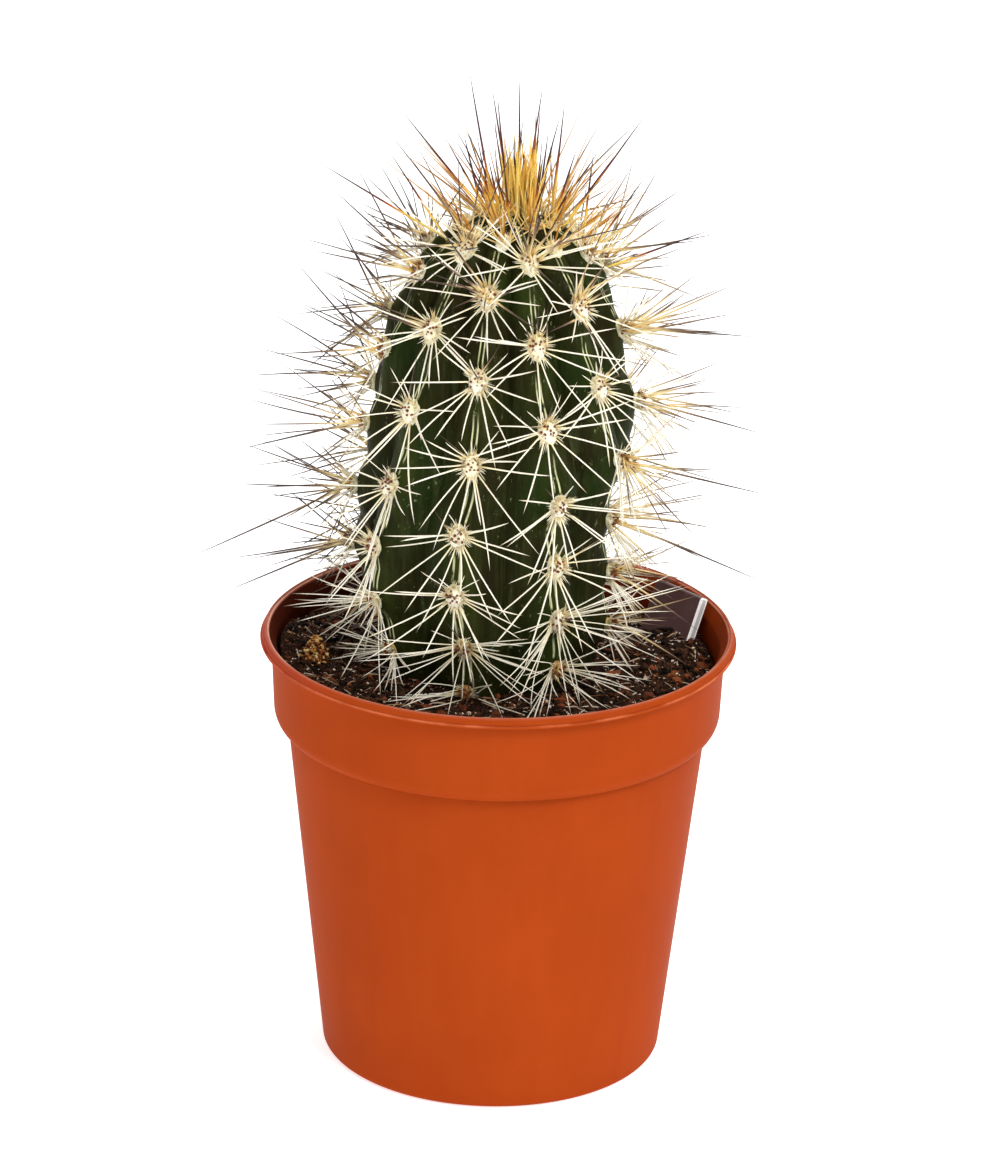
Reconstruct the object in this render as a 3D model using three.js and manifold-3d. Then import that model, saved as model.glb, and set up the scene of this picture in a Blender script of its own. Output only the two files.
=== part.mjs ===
// A tall ribbed cactus in its round nursery pot, in millimetres, +Z up.
// The origin is the middle of the pot's underside and -Y is the front.
// The stem, each areole with its spines, the crown, the soil, the pot and the plant label
// are separate solids. Neighbours keep a gap of GAP between their faces.

import * as THREE from "three";
import { mergeVertices } from "three/addons/utils/BufferGeometryUtils.js";
import Module from "manifold-3d";

const wasm = await Module();
wasm.setup();

// ---- Driving dimensions ----

const GAP = 0.3; // between pieces that touch on the real plant
const SKIN_GAP = 0.45; // from the stem's skin to an areole, allowing for the flat facets

// Pot: a thin moulded shell with a rolled lip, a wider band under it and a stepped foot.
const LIP_RADIUS = 52.5;
const POT_HEIGHT = 99;
const WALL = 1.2;
const LIP_THICKNESS = 2.6;
const LIP_BEAD = { radius: 0.7, rise: 0.9 }; // the round under its outer edge, and its centre's height
const LIP_ROUND = 1; // of its upper edges
const BAND_TOP_RADIUS = 50.1;
const BAND_FOOT_RADIUS = 49.4;
const SHOULDER_TOP = 81.4;
const SHOULDER_FOOT = 78;
const SHOULDER_LEDGE = 0.6; // how far outside the body the shoulder's curve starts
const BODY_TOP_RADIUS = 46.4;
const FOOT_RADIUS = 38;
const FOOT_ROUND = 1.5;
const FLOOR_CHAMFER = 1; // inside, where the floor meets the wall
const FOOT_RING_INNER = 29;
const CHANNEL = { inner: 13, outer: 27, height: 2.2 }; // raised ring that lets water out
const CENTRE_DISC_RADIUS = 11;
const DRAIN_HOLES = 8;
const DRAIN_HOLE_RADIUS = 3.2;
const DRILL = { length: 10, sides: 14 }; // what a drainage hole is cut with
const POT_SEGMENTS = 60;
const ROUND_STEPS = 3; // facets in a quarter of a large round, and in one of a small round
const SMALL_ROUND_STEPS = 2;

// Soil: fills the pot to a low mound round the stem.
const SOIL_AT_STEM = 91.6;
const SOIL_AT_WALL = 89.6;
const SOIL_RINGS = [44, 38, 31, 24]; // radii of the rings that shape its top
const SOIL_LUMPS = { height: 0.3, across: 0.37, along: 0.41 }; // waves per millimetre, in radians
const SOIL_SEGMENTS = POT_SEGMENTS / 2; // so that its corners lie at the pot's corners

// Stem: a column of ribs under a rounded dome, narrowing into the soil.
const RIBS = 11;
const RIB_FACETS = 4;
const STEM_RADIUS = 28.8;
const WAIST_RADIUS = 27.4;
const DOME_BASE = 138;
const DOME_POWER = 2.3; // 2 would be an ellipse
const APEX = 194.5;
const STEM_FOOT = 66;
const WAIST = { low: 129, high: 140 };
const TAPER = { from: 118, at: 88, loss: 6.2, power: 1.6 }; // the radius lost between these heights
const GROOVE_DEPTH = 0.17; // of the radius
const GROOVE_SHARPNESS = 0.75;
const LEAN = { base: -2.1, from: 88, slope: 0.028 };
const DENT = { depth: 2.7, at: 122, reach: 15, power: 4 }; // on the +X side
const FIRST_RIB = -11.5; // degrees from the front towards +X
// Degrees that the ribs fan out by at the base, and the share of it that they close by at the top.
const RIB_FAN = { turn: 5, spread: 24, low: 112, high: 174, closing: 0.45 };
const STEM_RINGS = 22;

// Areoles: woolly cushions in rows along the ribs, each with its own spines.
const ROW_START = 196.3; // the height that the rows are counted down from
const ROW_PHASES = [0, 0.56, 0.17, 0.64, 0.05, 0.55, 0.95, 0.35, 0.7, 0.93, 0.47]; // per rib
const ROW_SPACING = { least: 11.5, extra: 6.4, widestAt: 158, spread: 34 };
const ROWS_PER_RIB = 5;
const HALF_ROW = 7; // how far below an areole the spacing to the next one is read
const CROWN_EDGE = 190.5; // areoles above this height belong to the crown
const AREOLE = { halfWidth: 2.9, halfHeight: 3.7, halfDepth: 2.1 };
const AREOLE_FACETS = { around: 6, up: 4 };
const SLOPE_REACH = 0.5; // above and below an areole, where the skin's slope is read
const SPINE_SIDES = 3;
const RADIAL_SPINE = { length: 9, radius: 0.42, rise: 30 };
const RADIAL_ANGLES = [-82, 78, -142, 146]; // degrees from the rib's upward line
const RADIAL_SWAY = 14; // degrees
const CENTRAL_SPINE = { shortest: 17, longest: 30, radius: 0.48 };
// Each of an areole's two central spines: degrees sideways and upwards from straight out.
const CENTRAL_AIMS = [
  { side: -18, up: -24 },
  { side: 18, up: 20 },
];
const CENTRAL_SWAY = { side: 34, up: 16 };
const ROOT_DEPTH = 0.7; // from the skin outwards to where a spine starts
// What is added to a spine's number so that its four chances differ.
const DRAWS = { sway: 0, pitch: 7, length: 13, radial: 20 };
// The few spines that stand out furthest: rib, row, length and fall below the horizon in degrees.
const LONG_SPINES = [
  { rib: 9, row: 3, length: 39, fall: 25 },
  { rib: 2, row: 2, length: 32, fall: 14 },
  { rib: 2, row: 3, length: 36, fall: 22 },
  { rib: 3, row: 1, length: 27, fall: -8 },
];

// Crown: the young golden spines over the growing point.
const CROWN = { radius: 11.5, halfHeight: 5.2, sink: 1.6 };
const CROWN_FACETS = { around: 14, up: 6 };
const CROWN_RINGS = [
  { count: 5, distance: 1.8, tilt: 4, length: 33 },
  { count: 9, distance: 4.6, tilt: 15, length: 28 },
  { count: 13, distance: 7.6, tilt: 31, length: 25 },
];
const CROWN_SWAY = { around: 0.7, tilt: 9, length: 7 };
const CROWN_DRAWS = { around: 1, tilt: 2, length: 3 };
const CROWN_SPINE_RADIUS = 0.5;
const CROWN_DOME = 0.012; // how fast the spines' roots fall away from the middle

// Plant label: a stick label pushed into the soil, leaning out to the lip.
const LABEL = { width: 15.2, length: 40, thickness: 2.4, point: 9 };
const LABEL_PLACE = { radius: 45.8, azimuth: 116.5, facing: 130.3, lean: 23, top: 101.1 };

// ---- Helpers ----

const radians = THREE.MathUtils.degToRad;

// A fixed number from 0 to 1 for each whole-number triple, so that the plant is the same every time.
function chance(a, b, c) {
  const s = Math.sin(a * 12.9898 + b * 78.233 + c * 37.719) * 43758.5453;
  return s - Math.floor(s);
}

function smoothstep(low, high, x) {
  const t = Math.min(1, Math.max(0, (x - low) / (high - low)));
  return t * t * (3 - 2 * t);
}

// Points of an arc in a profile, from one angle to another in degrees.
function arc(x, y, radiusX, radiusY, from, to, steps) {
  return Array.from({ length: steps + 1 }, (_, i) => {
    const a = radians(from + ((to - from) * i) / steps);
    return [x + radiusX * Math.cos(a), y + radiusY * Math.sin(a)];
  });
}

// A profile of [radius, height] pairs turned about Z.
function turned(profile, segments) {
  const points = profile.map(([r, z]) => new THREE.Vector2(Math.max(r, 0), z));
  return new THREE.LatheGeometry(points, segments).rotateX(Math.PI / 2);
}

function solid(geometry) {
  const g = geometry.clone();
  g.deleteAttribute("normal");
  g.deleteAttribute("uv");
  const merged = mergeVertices(g, 1e-4);
  return new wasm.Manifold(
    new wasm.Mesh({
      numProp: 3,
      vertProperties: new Float32Array(merged.attributes.position.array),
      triVerts: new Uint32Array(merged.index.array),
    }),
  );
}

function geometryOf(manifold) {
  const mesh = manifold.getMesh();
  const g = new THREE.BufferGeometry();
  g.setAttribute("position", new THREE.BufferAttribute(mesh.vertProperties, 3));
  g.setIndex(new THREE.BufferAttribute(mesh.triVerts, 1));
  g.computeVertexNormals();
  return g;
}

// ---- Materials ----

const plastic = (color, roughness) =>
  new THREE.MeshStandardMaterial({ color, roughness, metalness: 0 });
const potPlastic = plastic(0xc4521f, 0.5);
const pottingSoil = plastic(0x2a1b14, 0.95);
const stemSkin = plastic(0x1f3a1c, 0.55);
const spineHorn = plastic(0xe8dcb4, 0.5);
const crownHorn = plastic(0xc98a2c, 0.5);
const labelPlastic = plastic(0x5b4246, 0.45);

// ---- Pot ----

// The underside from the middle outwards; the floor inside repeats it one wall higher.
const UNDERSIDE = [
  [0, 0],
  [CENTRE_DISC_RADIUS, 0],
  [CHANNEL.inner, CHANNEL.height],
  [CHANNEL.outer, CHANNEL.height],
  [FOOT_RING_INNER, 0],
];

// The wall's outer radius between the foot and the shoulder.
function bodyRadius(z) {
  const t = (z - FOOT_ROUND) / (SHOULDER_FOOT - FOOT_ROUND);
  return FOOT_RADIUS + (BODY_TOP_RADIUS - FOOT_RADIUS) * t;
}

// The inside of the wall, drawn in by offset, from the floor up to the band's top.
function wallInside(offset) {
  const inset = WALL + offset;
  return [
    [FOOT_RADIUS - inset - FLOOR_CHAMFER, inset],
    [FOOT_RADIUS - inset, inset + FLOOR_CHAMFER],
    [bodyRadius(SHOULDER_FOOT) - inset, SHOULDER_FOOT + inset],
    [BAND_FOOT_RADIUS - inset, SHOULDER_TOP + inset],
  ];
}

function potGeometry() {
  const bandTop = POT_HEIGHT - LIP_THICKNESS;
  const ledge = BODY_TOP_RADIUS + SHOULDER_LEDGE;
  const shoulder = arc(
    ledge, SHOULDER_TOP,
    BAND_FOOT_RADIUS - ledge, SHOULDER_TOP - SHOULDER_FOOT,
    -90, 0, ROUND_STEPS,
  );
  const outside = [
    ...arc(FOOT_RADIUS - FOOT_ROUND, FOOT_ROUND, FOOT_ROUND, FOOT_ROUND, -90, 0, ROUND_STEPS),
    [BODY_TOP_RADIUS, SHOULDER_FOOT],
    ...shoulder,
    [BAND_TOP_RADIUS, bandTop],
  ];
  const { radius, rise } = LIP_BEAD;
  const edge = POT_HEIGHT - LIP_ROUND;
  const lip = [
    ...arc(LIP_RADIUS - radius, bandTop + rise, radius, radius, -90, 0, SMALL_ROUND_STEPS),
    ...arc(LIP_RADIUS - LIP_ROUND, edge, LIP_ROUND, LIP_ROUND, 0, 90, SMALL_ROUND_STEPS),
    ...arc(BAND_TOP_RADIUS, edge, WALL, LIP_ROUND, 90, 180, SMALL_ROUND_STEPS),
    [BAND_TOP_RADIUS - WALL, bandTop],
  ];
  const inside = wallInside(0).reverse();
  const floor = UNDERSIDE.map(([r, z]) => [r, z + WALL]).reverse();
  return turned([...UNDERSIDE, ...outside, ...lip, ...inside, ...floor], POT_SEGMENTS);
}

function pot() {
  let shell = solid(potGeometry());
  const middle = (CHANNEL.inner + CHANNEL.outer) / 2;
  for (let i = 0; i < DRAIN_HOLES; i++) {
    const angle = ((i + 0.5) * 2 * Math.PI) / DRAIN_HOLES;
    const drill = new THREE.CylinderGeometry(
      DRAIN_HOLE_RADIUS, DRAIN_HOLE_RADIUS, DRILL.length, DRILL.sides,
    );
    drill.rotateX(Math.PI / 2);
    drill.translate(middle * Math.cos(angle), middle * Math.sin(angle), CHANNEL.height);
    shell = shell.subtract(solid(drill));
  }
  return geometryOf(shell);
}

// ---- Stem ----

// How far up the dome a height is, from 0 at its foot to 1 at the apex.
const upDome = (z) => Math.max(0, (z - DOME_BASE) / (APEX - DOME_BASE));

function stemRadius(z) {
  const dome = Math.max(0, 1 - upDome(z) ** DOME_POWER) ** (1 / DOME_POWER);
  const waist = (STEM_RADIUS - WAIST_RADIUS) * (1 - smoothstep(WAIST.low, WAIST.high, z));
  const down = Math.max(0, (TAPER.from - z) / (TAPER.from - TAPER.at));
  return STEM_RADIUS * dome - waist - TAPER.loss * down ** TAPER.power;
}

function stemCentre(z) {
  const dent = DENT.depth * Math.exp(-(((z - DENT.at) / DENT.reach) ** DENT.power));
  return LEAN.base + LEAN.slope * (z - LEAN.from) - dent;
}

// The azimuth of a place that is rib ribs from the first one, in radians from the front towards +X.
function ribAzimuth(rib, z) {
  const top = radians(FIRST_RIB) + (rib * 2 * Math.PI) / RIBS;
  const fan = radians(RIB_FAN.turn) + radians(RIB_FAN.spread) * Math.sin(top);
  return top + fan * (1 - (1 + RIB_FAN.closing) * smoothstep(RIB_FAN.low, RIB_FAN.high, z));
}

// A point of the skin: rib may be fractional, and grow pushes the skin outwards.
function skinPoint(rib, z, grow) {
  const groove = 1 - Math.abs(Math.cos(Math.PI * rib)) ** GROOVE_SHARPNESS;
  const r = Math.max(0, stemRadius(z) * (1 - GROOVE_DEPTH * groove) + grow);
  const azimuth = ribAzimuth(rib, z);
  return new THREE.Vector3(stemCentre(z) + r * Math.sin(azimuth), -r * Math.cos(azimuth), z);
}

// The heights of the rings: even up the column, then closing in over the dome.
function ringHeights() {
  const onDome = Math.round(STEM_RINGS / 2);
  const onColumn = STEM_RINGS - onDome;
  const column = Array.from(
    { length: onColumn },
    (_, i) => STEM_FOOT + ((DOME_BASE - STEM_FOOT) * i) / onColumn,
  );
  const dome = Array.from(
    { length: onDome },
    (_, i) => DOME_BASE + (APEX - DOME_BASE) * Math.sin((Math.PI / 2) * (i / onDome)),
  );
  return [...column, ...dome];
}

// grow thickens the stem on every side, for the room that its neighbours leave it.
function stemGeometry(grow) {
  const heights = ringHeights();
  const rings = heights.map((z) => [stemRadius(z) + grow, z]);
  const foot = [0, STEM_FOOT - grow];
  const tip = [0, APEX + grow];
  const g = turned([foot, ...rings, tip], RIBS * RIB_FACETS);
  const position = g.getAttribute("position");
  const perSlice = rings.length + 2;
  for (let i = 0; i < position.count; i++) {
    const rib = (Math.floor(i / perSlice) % (RIBS * RIB_FACETS)) / RIB_FACETS;
    const ring = (i % perSlice) - 1;
    if (ring >= 0 && ring < rings.length) {
      const z = heights[ring];
      const p = skinPoint(rib, z, grow);
      const lift = ring === 0 ? -grow : grow * upDome(z);
      position.setXYZ(i, p.x, p.y, z + lift);
    } else {
      const z = ring < 0 ? STEM_FOOT : APEX;
      position.setX(i, stemCentre(z));
      position.setY(i, 0);
    }
  }
  return g;
}

// ---- Areoles and spines ----

// The spacing of areoles is widest on the column and closes up at both ends.
function areoleSpacing(z) {
  const { least, extra, widestAt, spread } = ROW_SPACING;
  return least + extra * Math.exp(-(((z - widestAt) / spread) ** 2));
}

// The heights of a rib's areoles below the crown, from the top down.
function areoleHeights(rib) {
  const heights = [];
  let z = ROW_START - ROW_PHASES[rib] * areoleSpacing(ROW_START - HALF_ROW);
  while (heights.length < ROWS_PER_RIB) {
    if (z < CROWN_EDGE) heights.push(z);
    z -= areoleSpacing(z - HALF_ROW);
  }
  return heights;
}

// Where an areole sits, with its outward, upward and sideways directions.
function areoleFrame(rib, z) {
  const rise = stemRadius(z + SLOPE_REACH) - stemRadius(z - SLOPE_REACH);
  const slope = rise / (2 * SLOPE_REACH);
  const azimuth = ribAzimuth(rib, z);
  const radial = new THREE.Vector3(Math.sin(azimuth), -Math.cos(azimuth), 0);
  const vertical = new THREE.Vector3(0, 0, 1);
  const up = vertical.clone().addScaledVector(radial, slope).normalize();
  const out = radial.clone().addScaledVector(vertical, -slope).normalize();
  const side = new THREE.Vector3().crossVectors(up, out);
  return { at: skinPoint(rib, z, 0), out, up, side };
}

// A slim cone from a root along a direction.
function spine(root, direction, length, radius) {
  const cone = new THREE.ConeGeometry(radius, length, SPINE_SIDES);
  const turn = new THREE.Quaternion().setFromUnitVectors(new THREE.Vector3(0, 1, 0), direction);
  cone.applyQuaternion(turn);
  const middle = root.clone().addScaledVector(direction, length / 2);
  return solid(cone.translate(middle.x, middle.y, middle.z));
}

// The directions and lengths of an areole's one or two long central spines.
function centralSpines(rib, row, frame) {
  const long = LONG_SPINES.find((s) => s.rib === rib && s.row === row);
  const { shortest, longest } = CENTRAL_SPINE;
  return [0, 1].map((i) => {
    const level = new THREE.Vector3(frame.out.x, frame.out.y, 0).normalize();
    if (long && i === 0) {
      const fall = radians(long.fall);
      const direction = level.multiplyScalar(Math.cos(fall));
      return { direction: direction.setZ(-Math.sin(fall)), length: long.length };
    }
    const aim = CENTRAL_AIMS[i];
    const swayDraw = chance(rib, row, i + DRAWS.sway) - 0.5;
    const pitchDraw = chance(rib, row, i + DRAWS.pitch) - 0.5;
    const sway = radians(aim.side + CENTRAL_SWAY.side * swayDraw);
    const pitch = radians(aim.up + CENTRAL_SWAY.up * pitchDraw);
    const direction = frame.out
      .clone()
      .multiplyScalar(Math.cos(sway) * Math.cos(pitch))
      .addScaledVector(frame.side, Math.sin(sway) * Math.cos(pitch))
      .addScaledVector(frame.up, Math.sin(pitch))
      .normalize();
    const length = shortest + (longest - shortest) * chance(rib, row, i + DRAWS.length);
    return { direction, length };
  });
}

function areole(rib, row, z, skin) {
  const frame = areoleFrame(rib, z);
  const { halfWidth, halfHeight, halfDepth } = AREOLE;
  const place = new THREE.Matrix4().makeBasis(frame.side, frame.up, frame.out);
  place.setPosition(frame.at);
  const cushion = new THREE.SphereGeometry(1, AREOLE_FACETS.around, AREOLE_FACETS.up)
    .scale(halfWidth, halfHeight, halfDepth)
    .applyMatrix4(place);
  let made = solid(cushion);
  const root = frame.at.clone().addScaledVector(frame.out, ROOT_DEPTH);
  for (const s of centralSpines(rib, row, frame)) {
    made = made.add(spine(root, s.direction, s.length, CENTRAL_SPINE.radius));
  }
  const crowding = Math.min(1, stemRadius(z) / STEM_RADIUS);
  RADIAL_ANGLES.forEach((angle, i) => {
    const draw = chance(rib, row, i + DRAWS.radial) - 0.5;
    const around = radians(angle + RADIAL_SWAY * draw);
    const rise = radians(RADIAL_SPINE.rise);
    const direction = frame.out
      .clone()
      .multiplyScalar(Math.sin(rise))
      .addScaledVector(frame.up, Math.cos(rise) * Math.cos(around))
      .addScaledVector(frame.side, Math.cos(rise) * Math.sin(around));
    made = made.add(spine(root, direction, RADIAL_SPINE.length * crowding, RADIAL_SPINE.radius));
  });
  return geometryOf(made.subtract(skin));
}

// ---- Crown ----

function crown(skin) {
  const x = stemCentre(APEX);
  const wool = new THREE.SphereGeometry(1, CROWN_FACETS.around, CROWN_FACETS.up)
    .rotateX(Math.PI / 2)
    .scale(CROWN.radius, CROWN.radius, CROWN.halfHeight)
    .translate(x, 0, APEX - CROWN.sink);
  let made = solid(wool);
  CROWN_RINGS.forEach(({ count, distance, tilt, length }, ring) => {
    for (let i = 0; i < count; i++) {
      const turn = i + CROWN_SWAY.around * chance(ring, i, CROWN_DRAWS.around);
      const around = (turn * 2 * Math.PI) / count;
      const lean = radians(tilt + CROWN_SWAY.tilt * (chance(ring, i, CROWN_DRAWS.tilt) - 0.5));
      const root = new THREE.Vector3(
        x + distance * Math.cos(around),
        distance * Math.sin(around),
        APEX - CROWN_DOME * distance * distance,
      );
      const direction = new THREE.Vector3(
        Math.sin(lean) * Math.cos(around),
        Math.sin(lean) * Math.sin(around),
        Math.cos(lean),
      );
      const reach = length + CROWN_SWAY.length * (chance(ring, i, CROWN_DRAWS.length) - 0.5);
      made = made.add(spine(root, direction, reach, CROWN_SPINE_RADIUS));
    }
  });
  return geometryOf(made.subtract(skin));
}

// ---- Plant label ----

// grow widens the blade on every side, for the slot that it leaves in the soil.
function labelGeometry(grow) {
  const half = LABEL.width / 2 + grow;
  const bottom = -LABEL.length - grow;
  const outline = new THREE.Shape([
    new THREE.Vector2(-half, grow),
    new THREE.Vector2(-half, bottom + LABEL.point),
    new THREE.Vector2(0, bottom),
    new THREE.Vector2(half, bottom + LABEL.point),
    new THREE.Vector2(half, grow),
  ]);
  const depth = LABEL.thickness + 2 * grow;
  const blade = new THREE.ExtrudeGeometry(outline, { depth, bevelEnabled: false });
  const azimuth = radians(LABEL_PLACE.azimuth);
  return blade
    .translate(0, 0, -depth / 2)
    .rotateX(Math.PI / 2)
    .rotateX(radians(LABEL_PLACE.lean))
    .rotateZ(radians(LABEL_PLACE.facing))
    .translate(
      LABEL_PLACE.radius * Math.sin(azimuth),
      -LABEL_PLACE.radius * Math.cos(azimuth),
      LABEL_PLACE.top,
    );
}

// ---- Soil ----

function soil(buried) {
  const foot = UNDERSIDE.map(([r, z]) => [r, z + WALL + 2 * GAP]);
  const wall = wallInside(GAP);
  const edge = [BAND_FOOT_RADIUS - WALL - GAP, SOIL_AT_WALL];
  const top = SOIL_RINGS.map((r) => {
    const t = (edge[0] - r) / (edge[0] - SOIL_RINGS.at(-1));
    return [r, SOIL_AT_WALL + (SOIL_AT_STEM - SOIL_AT_WALL) * t];
  });
  const g = turned([...foot, ...wall, edge, ...top, [0, SOIL_AT_STEM]], SOIL_SEGMENTS);
  const position = g.getAttribute("position");
  for (let i = 0; i < position.count; i++) {
    const x = position.getX(i);
    const y = position.getY(i);
    const z = position.getZ(i);
    if (z >= SOIL_AT_WALL) {
      const lump = Math.sin(x * SOIL_LUMPS.across) * Math.cos(y * SOIL_LUMPS.along);
      position.setZ(i, z + SOIL_LUMPS.height * lump);
    }
  }
  let made = solid(g);
  for (const other of buried) made = made.subtract(other);
  return geometryOf(made);
}

// ---- Assembly ----

const plant = new THREE.Group();

function addPiece(name, geometry, material) {
  const mesh = new THREE.Mesh(geometry, material);
  mesh.name = name;
  plant.add(mesh);
}

const skin = solid(stemGeometry(SKIN_GAP));
addPiece("pot", pot(), potPlastic);
addPiece("soil", soil([solid(stemGeometry(GAP)), solid(labelGeometry(GAP))]), pottingSoil);
addPiece("cactus_stem", stemGeometry(0), stemSkin);
addPiece("plant_label", labelGeometry(0), labelPlastic);
addPiece("crown_spines", crown(skin), crownHorn);
for (let rib = 0; rib < RIBS; rib++) {
  areoleHeights(rib).forEach((z, row) => {
    const name = `areole_rib${String(rib + 1).padStart(2, "0")}_row${row + 1}`;
    addPiece(name, areole(rib, row, z, skin), spineHorn);
  });
}

export default plant;
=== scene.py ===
"""The looks of a tall ribbed cactus in its round nursery pot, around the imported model.

Lengths are in millimetres and angles in degrees, unless a comment says otherwise: MM turns
millimetres into Blender's metres when a mesh is made. +Z is up, the origin is the middle of
the pot's underside and -Y is the front.
"""

import math

import bpy
import numpy as np
from mathutils import Matrix, Vector, noise


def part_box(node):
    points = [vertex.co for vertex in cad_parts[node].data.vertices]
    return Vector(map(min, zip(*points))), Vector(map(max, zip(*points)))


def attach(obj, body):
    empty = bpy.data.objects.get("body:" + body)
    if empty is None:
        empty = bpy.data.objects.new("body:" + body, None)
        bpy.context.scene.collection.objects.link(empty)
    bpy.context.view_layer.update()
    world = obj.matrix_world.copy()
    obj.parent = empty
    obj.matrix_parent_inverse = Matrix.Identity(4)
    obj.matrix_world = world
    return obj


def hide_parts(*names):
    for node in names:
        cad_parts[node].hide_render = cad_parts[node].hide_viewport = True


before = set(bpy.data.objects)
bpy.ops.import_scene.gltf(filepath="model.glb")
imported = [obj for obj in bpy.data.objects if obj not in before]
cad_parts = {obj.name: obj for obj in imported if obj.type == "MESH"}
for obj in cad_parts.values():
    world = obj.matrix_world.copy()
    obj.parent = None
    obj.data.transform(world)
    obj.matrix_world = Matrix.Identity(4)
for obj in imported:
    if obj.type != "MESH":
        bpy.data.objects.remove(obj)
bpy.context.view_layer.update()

MM = 0.001
BODY = "root"
SEED = 20

# ---- The camera and the studio ----

IMAGE_WIDTH, IMAGE_HEIGHT = 1000, 1168
SENSOR = 36.0
FOCAL_PIXELS = 5462  # the lens's focal length in pixels of that picture
CAMERA_DISTANCE = 1200
CAMERA_ELEVATION = 21.35
CAMERA_ROLL = 1.16
CAMERA_AIM = (0.13, 0.0, 109.4)

FLOOR_SIZE = 60000
FLOOR_DROP = 0.15  # below the pot's foot, so that the two faces don't coincide
FLOOR_GLOW = 0.6  # keeps the floor white under soft light
WORLD_STRENGTH = 0.5
# Each softbox: place, side length and power in watts.
SOFTBOXES = {
    "key": ((620, -820, 1050), 480, 12.0),
    "fill": ((-900, -800, 520), 900, 2.5),
    "top": ((120, 500, 1200), 700, 5.0),
}

# ---- The pot ----

LOW_CORNER, HIGH_CORNER = (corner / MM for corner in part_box("pot"))
LIP_RADIUS = HIGH_CORNER.x
POT_HEIGHT = HIGH_CORNER.z
WALL = 1.2
BAND_TOP_RADIUS = 50.1
BAND_FOOT_RADIUS = 49.4
LIP_FOOT = POT_HEIGHT - 2.6
LEDGE_HEIGHT = LIP_FOOT + 0.95  # of the narrow ledge round the lip's outside
INNER_EDGE_RADIUS = BAND_TOP_RADIUS + 0.45  # of the lip's inner edge
INNER_EDGE_HEIGHT = POT_HEIGHT - 0.3
SHOULDER_TOP = 81.4
SHOULDER_FOOT = 78
SHOULDER_LEDGE = 0.6  # how far the shoulder's foot stands out from the body
BODY_TOP_RADIUS = 46.4
FOOT_RADIUS = 38
FOOT_ROUND = 1.5
FOOT_RING_INNER = 29
CHANNEL_INNER, CHANNEL_OUTER, CHANNEL_HEIGHT = 13, 27, 2.2
CENTRE_DISC_RADIUS = 11
DRAIN_HOLES = 8
DRAIN_HOLE_RADIUS = 3.2
POT_SEGMENTS = 240

# ---- The stem ----

RIBS = 11
STEM_RADIUS = 28.8
WAIST_RADIUS = 27.4
DOME_BASE = 138
DOME_POWER = 2.3
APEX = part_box("cactus_stem")[1].z / MM
STEM_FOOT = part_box("cactus_stem")[0].z / MM
WAIST_LOW, WAIST_HIGH = 129, 140
TAPER_FROM, TAPER_AT, TAPER_LOSS, TAPER_POWER = 118, 88, 6.2, 1.6
GROOVE_DEPTH = 0.17  # of the radius
GROOVE_SHARPNESS = 0.75
LEAN_BASE, LEAN_FROM, LEAN_SLOPE = -2.1, 88, 0.028
DENT_DEPTH, DENT_AT, DENT_REACH, DENT_POWER = 2.7, 122, 15, 4
FIRST_RIB = -11.5
FAN_TURN, FAN_SPREAD, FAN_LOW, FAN_HIGH, FAN_CLOSING = 5, 24, 112, 174, 0.45
SKIN_STEPS_PER_RIB = 22
SKIN_RINGS = 340
TUBERCLE_HEIGHT = 0.9
TUBERCLE_REACH = 4.6
NOTCH_DEPTH = 0.5
NOTCH_ABOVE = 7.4
NOTCH_REACH = 2.0
SKIN_WAVES = 0.16

# ---- The areoles ----

ROW_START = 196.3
ROW_PHASES = (0, 0.56, 0.17, 0.64, 0.05, 0.55, 0.95, 0.35, 0.7, 0.93, 0.47)
ROWS_PER_RIB = 5  # the rows that the model holds as nodes
SPACING_LEAST, SPACING_EXTRA, SPACING_WIDEST_AT, SPACING_SPREAD = 11.5, 6.4, 158, 34
CROWN_EDGE = 190.5
LOWEST_AREOLE = 92.6
WOOL_HALF_WIDTH = 2.0
WOOL_HALF_HEIGHT = 2.7
WOOL_HALF_DEPTH = 1.6
WOOL_STAND = 0.35  # how far its middle stands off the skin
CUSHION_RINGS, CUSHION_SEGMENTS = 10, 20
WOOL_FIBRES = 70
WOOL_FIBRE_LENGTH = (0.4, 0.9)
WOOL_FIBRE_RADIUS = 0.09
BRISTLES = 60
BRISTLE_LENGTH = (1.1, 3.0)
BRISTLE_RADIUS = 0.12
STUBS = (8, 12)  # the dark bases of young spines in a cushion
STUB_LENGTH = (0.5, 0.9)
STUB_RADIUS = (0.26, 0.36)

RADIAL_RADIUS = 0.18
# The radial spines of an areole: degrees from straight up the rib, shortest and longest.
RADIALS = (
    (16, 5, 10),
    (-22, 5, 10),
    (44, 8, 14),
    (-48, 8, 14),
    (64, 11, 18),
    (-66, 11, 18),
    (80, 14, 21),
    (-82, 14, 21),
    (94, 15, 22),
    (-96, 15, 22),
    (112, 15, 23),
    (-114, 15, 23),
    (134, 15, 24),
    (-136, 15, 24),
    (154, 13, 23),
    (-156, 13, 23),
    (172, 11, 20),
    (-174, 11, 20),
)
# The lowest areoles have more of them near the level, which cross those beside them.
LEVEL_RADIALS = tuple(
    (side * angle, 12, 20) for angle in (60, 75, 88, 100, 115) for side in (1, -1)
)
RADIAL_SWAY = 8
RADIAL_RISE = (14, 46)
UPPER_RISE = 10  # the extra rise of a radial spine that points up
CENTRAL_RADIUS = 0.22
CENTRAL_LENGTH = (12, 29)
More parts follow.
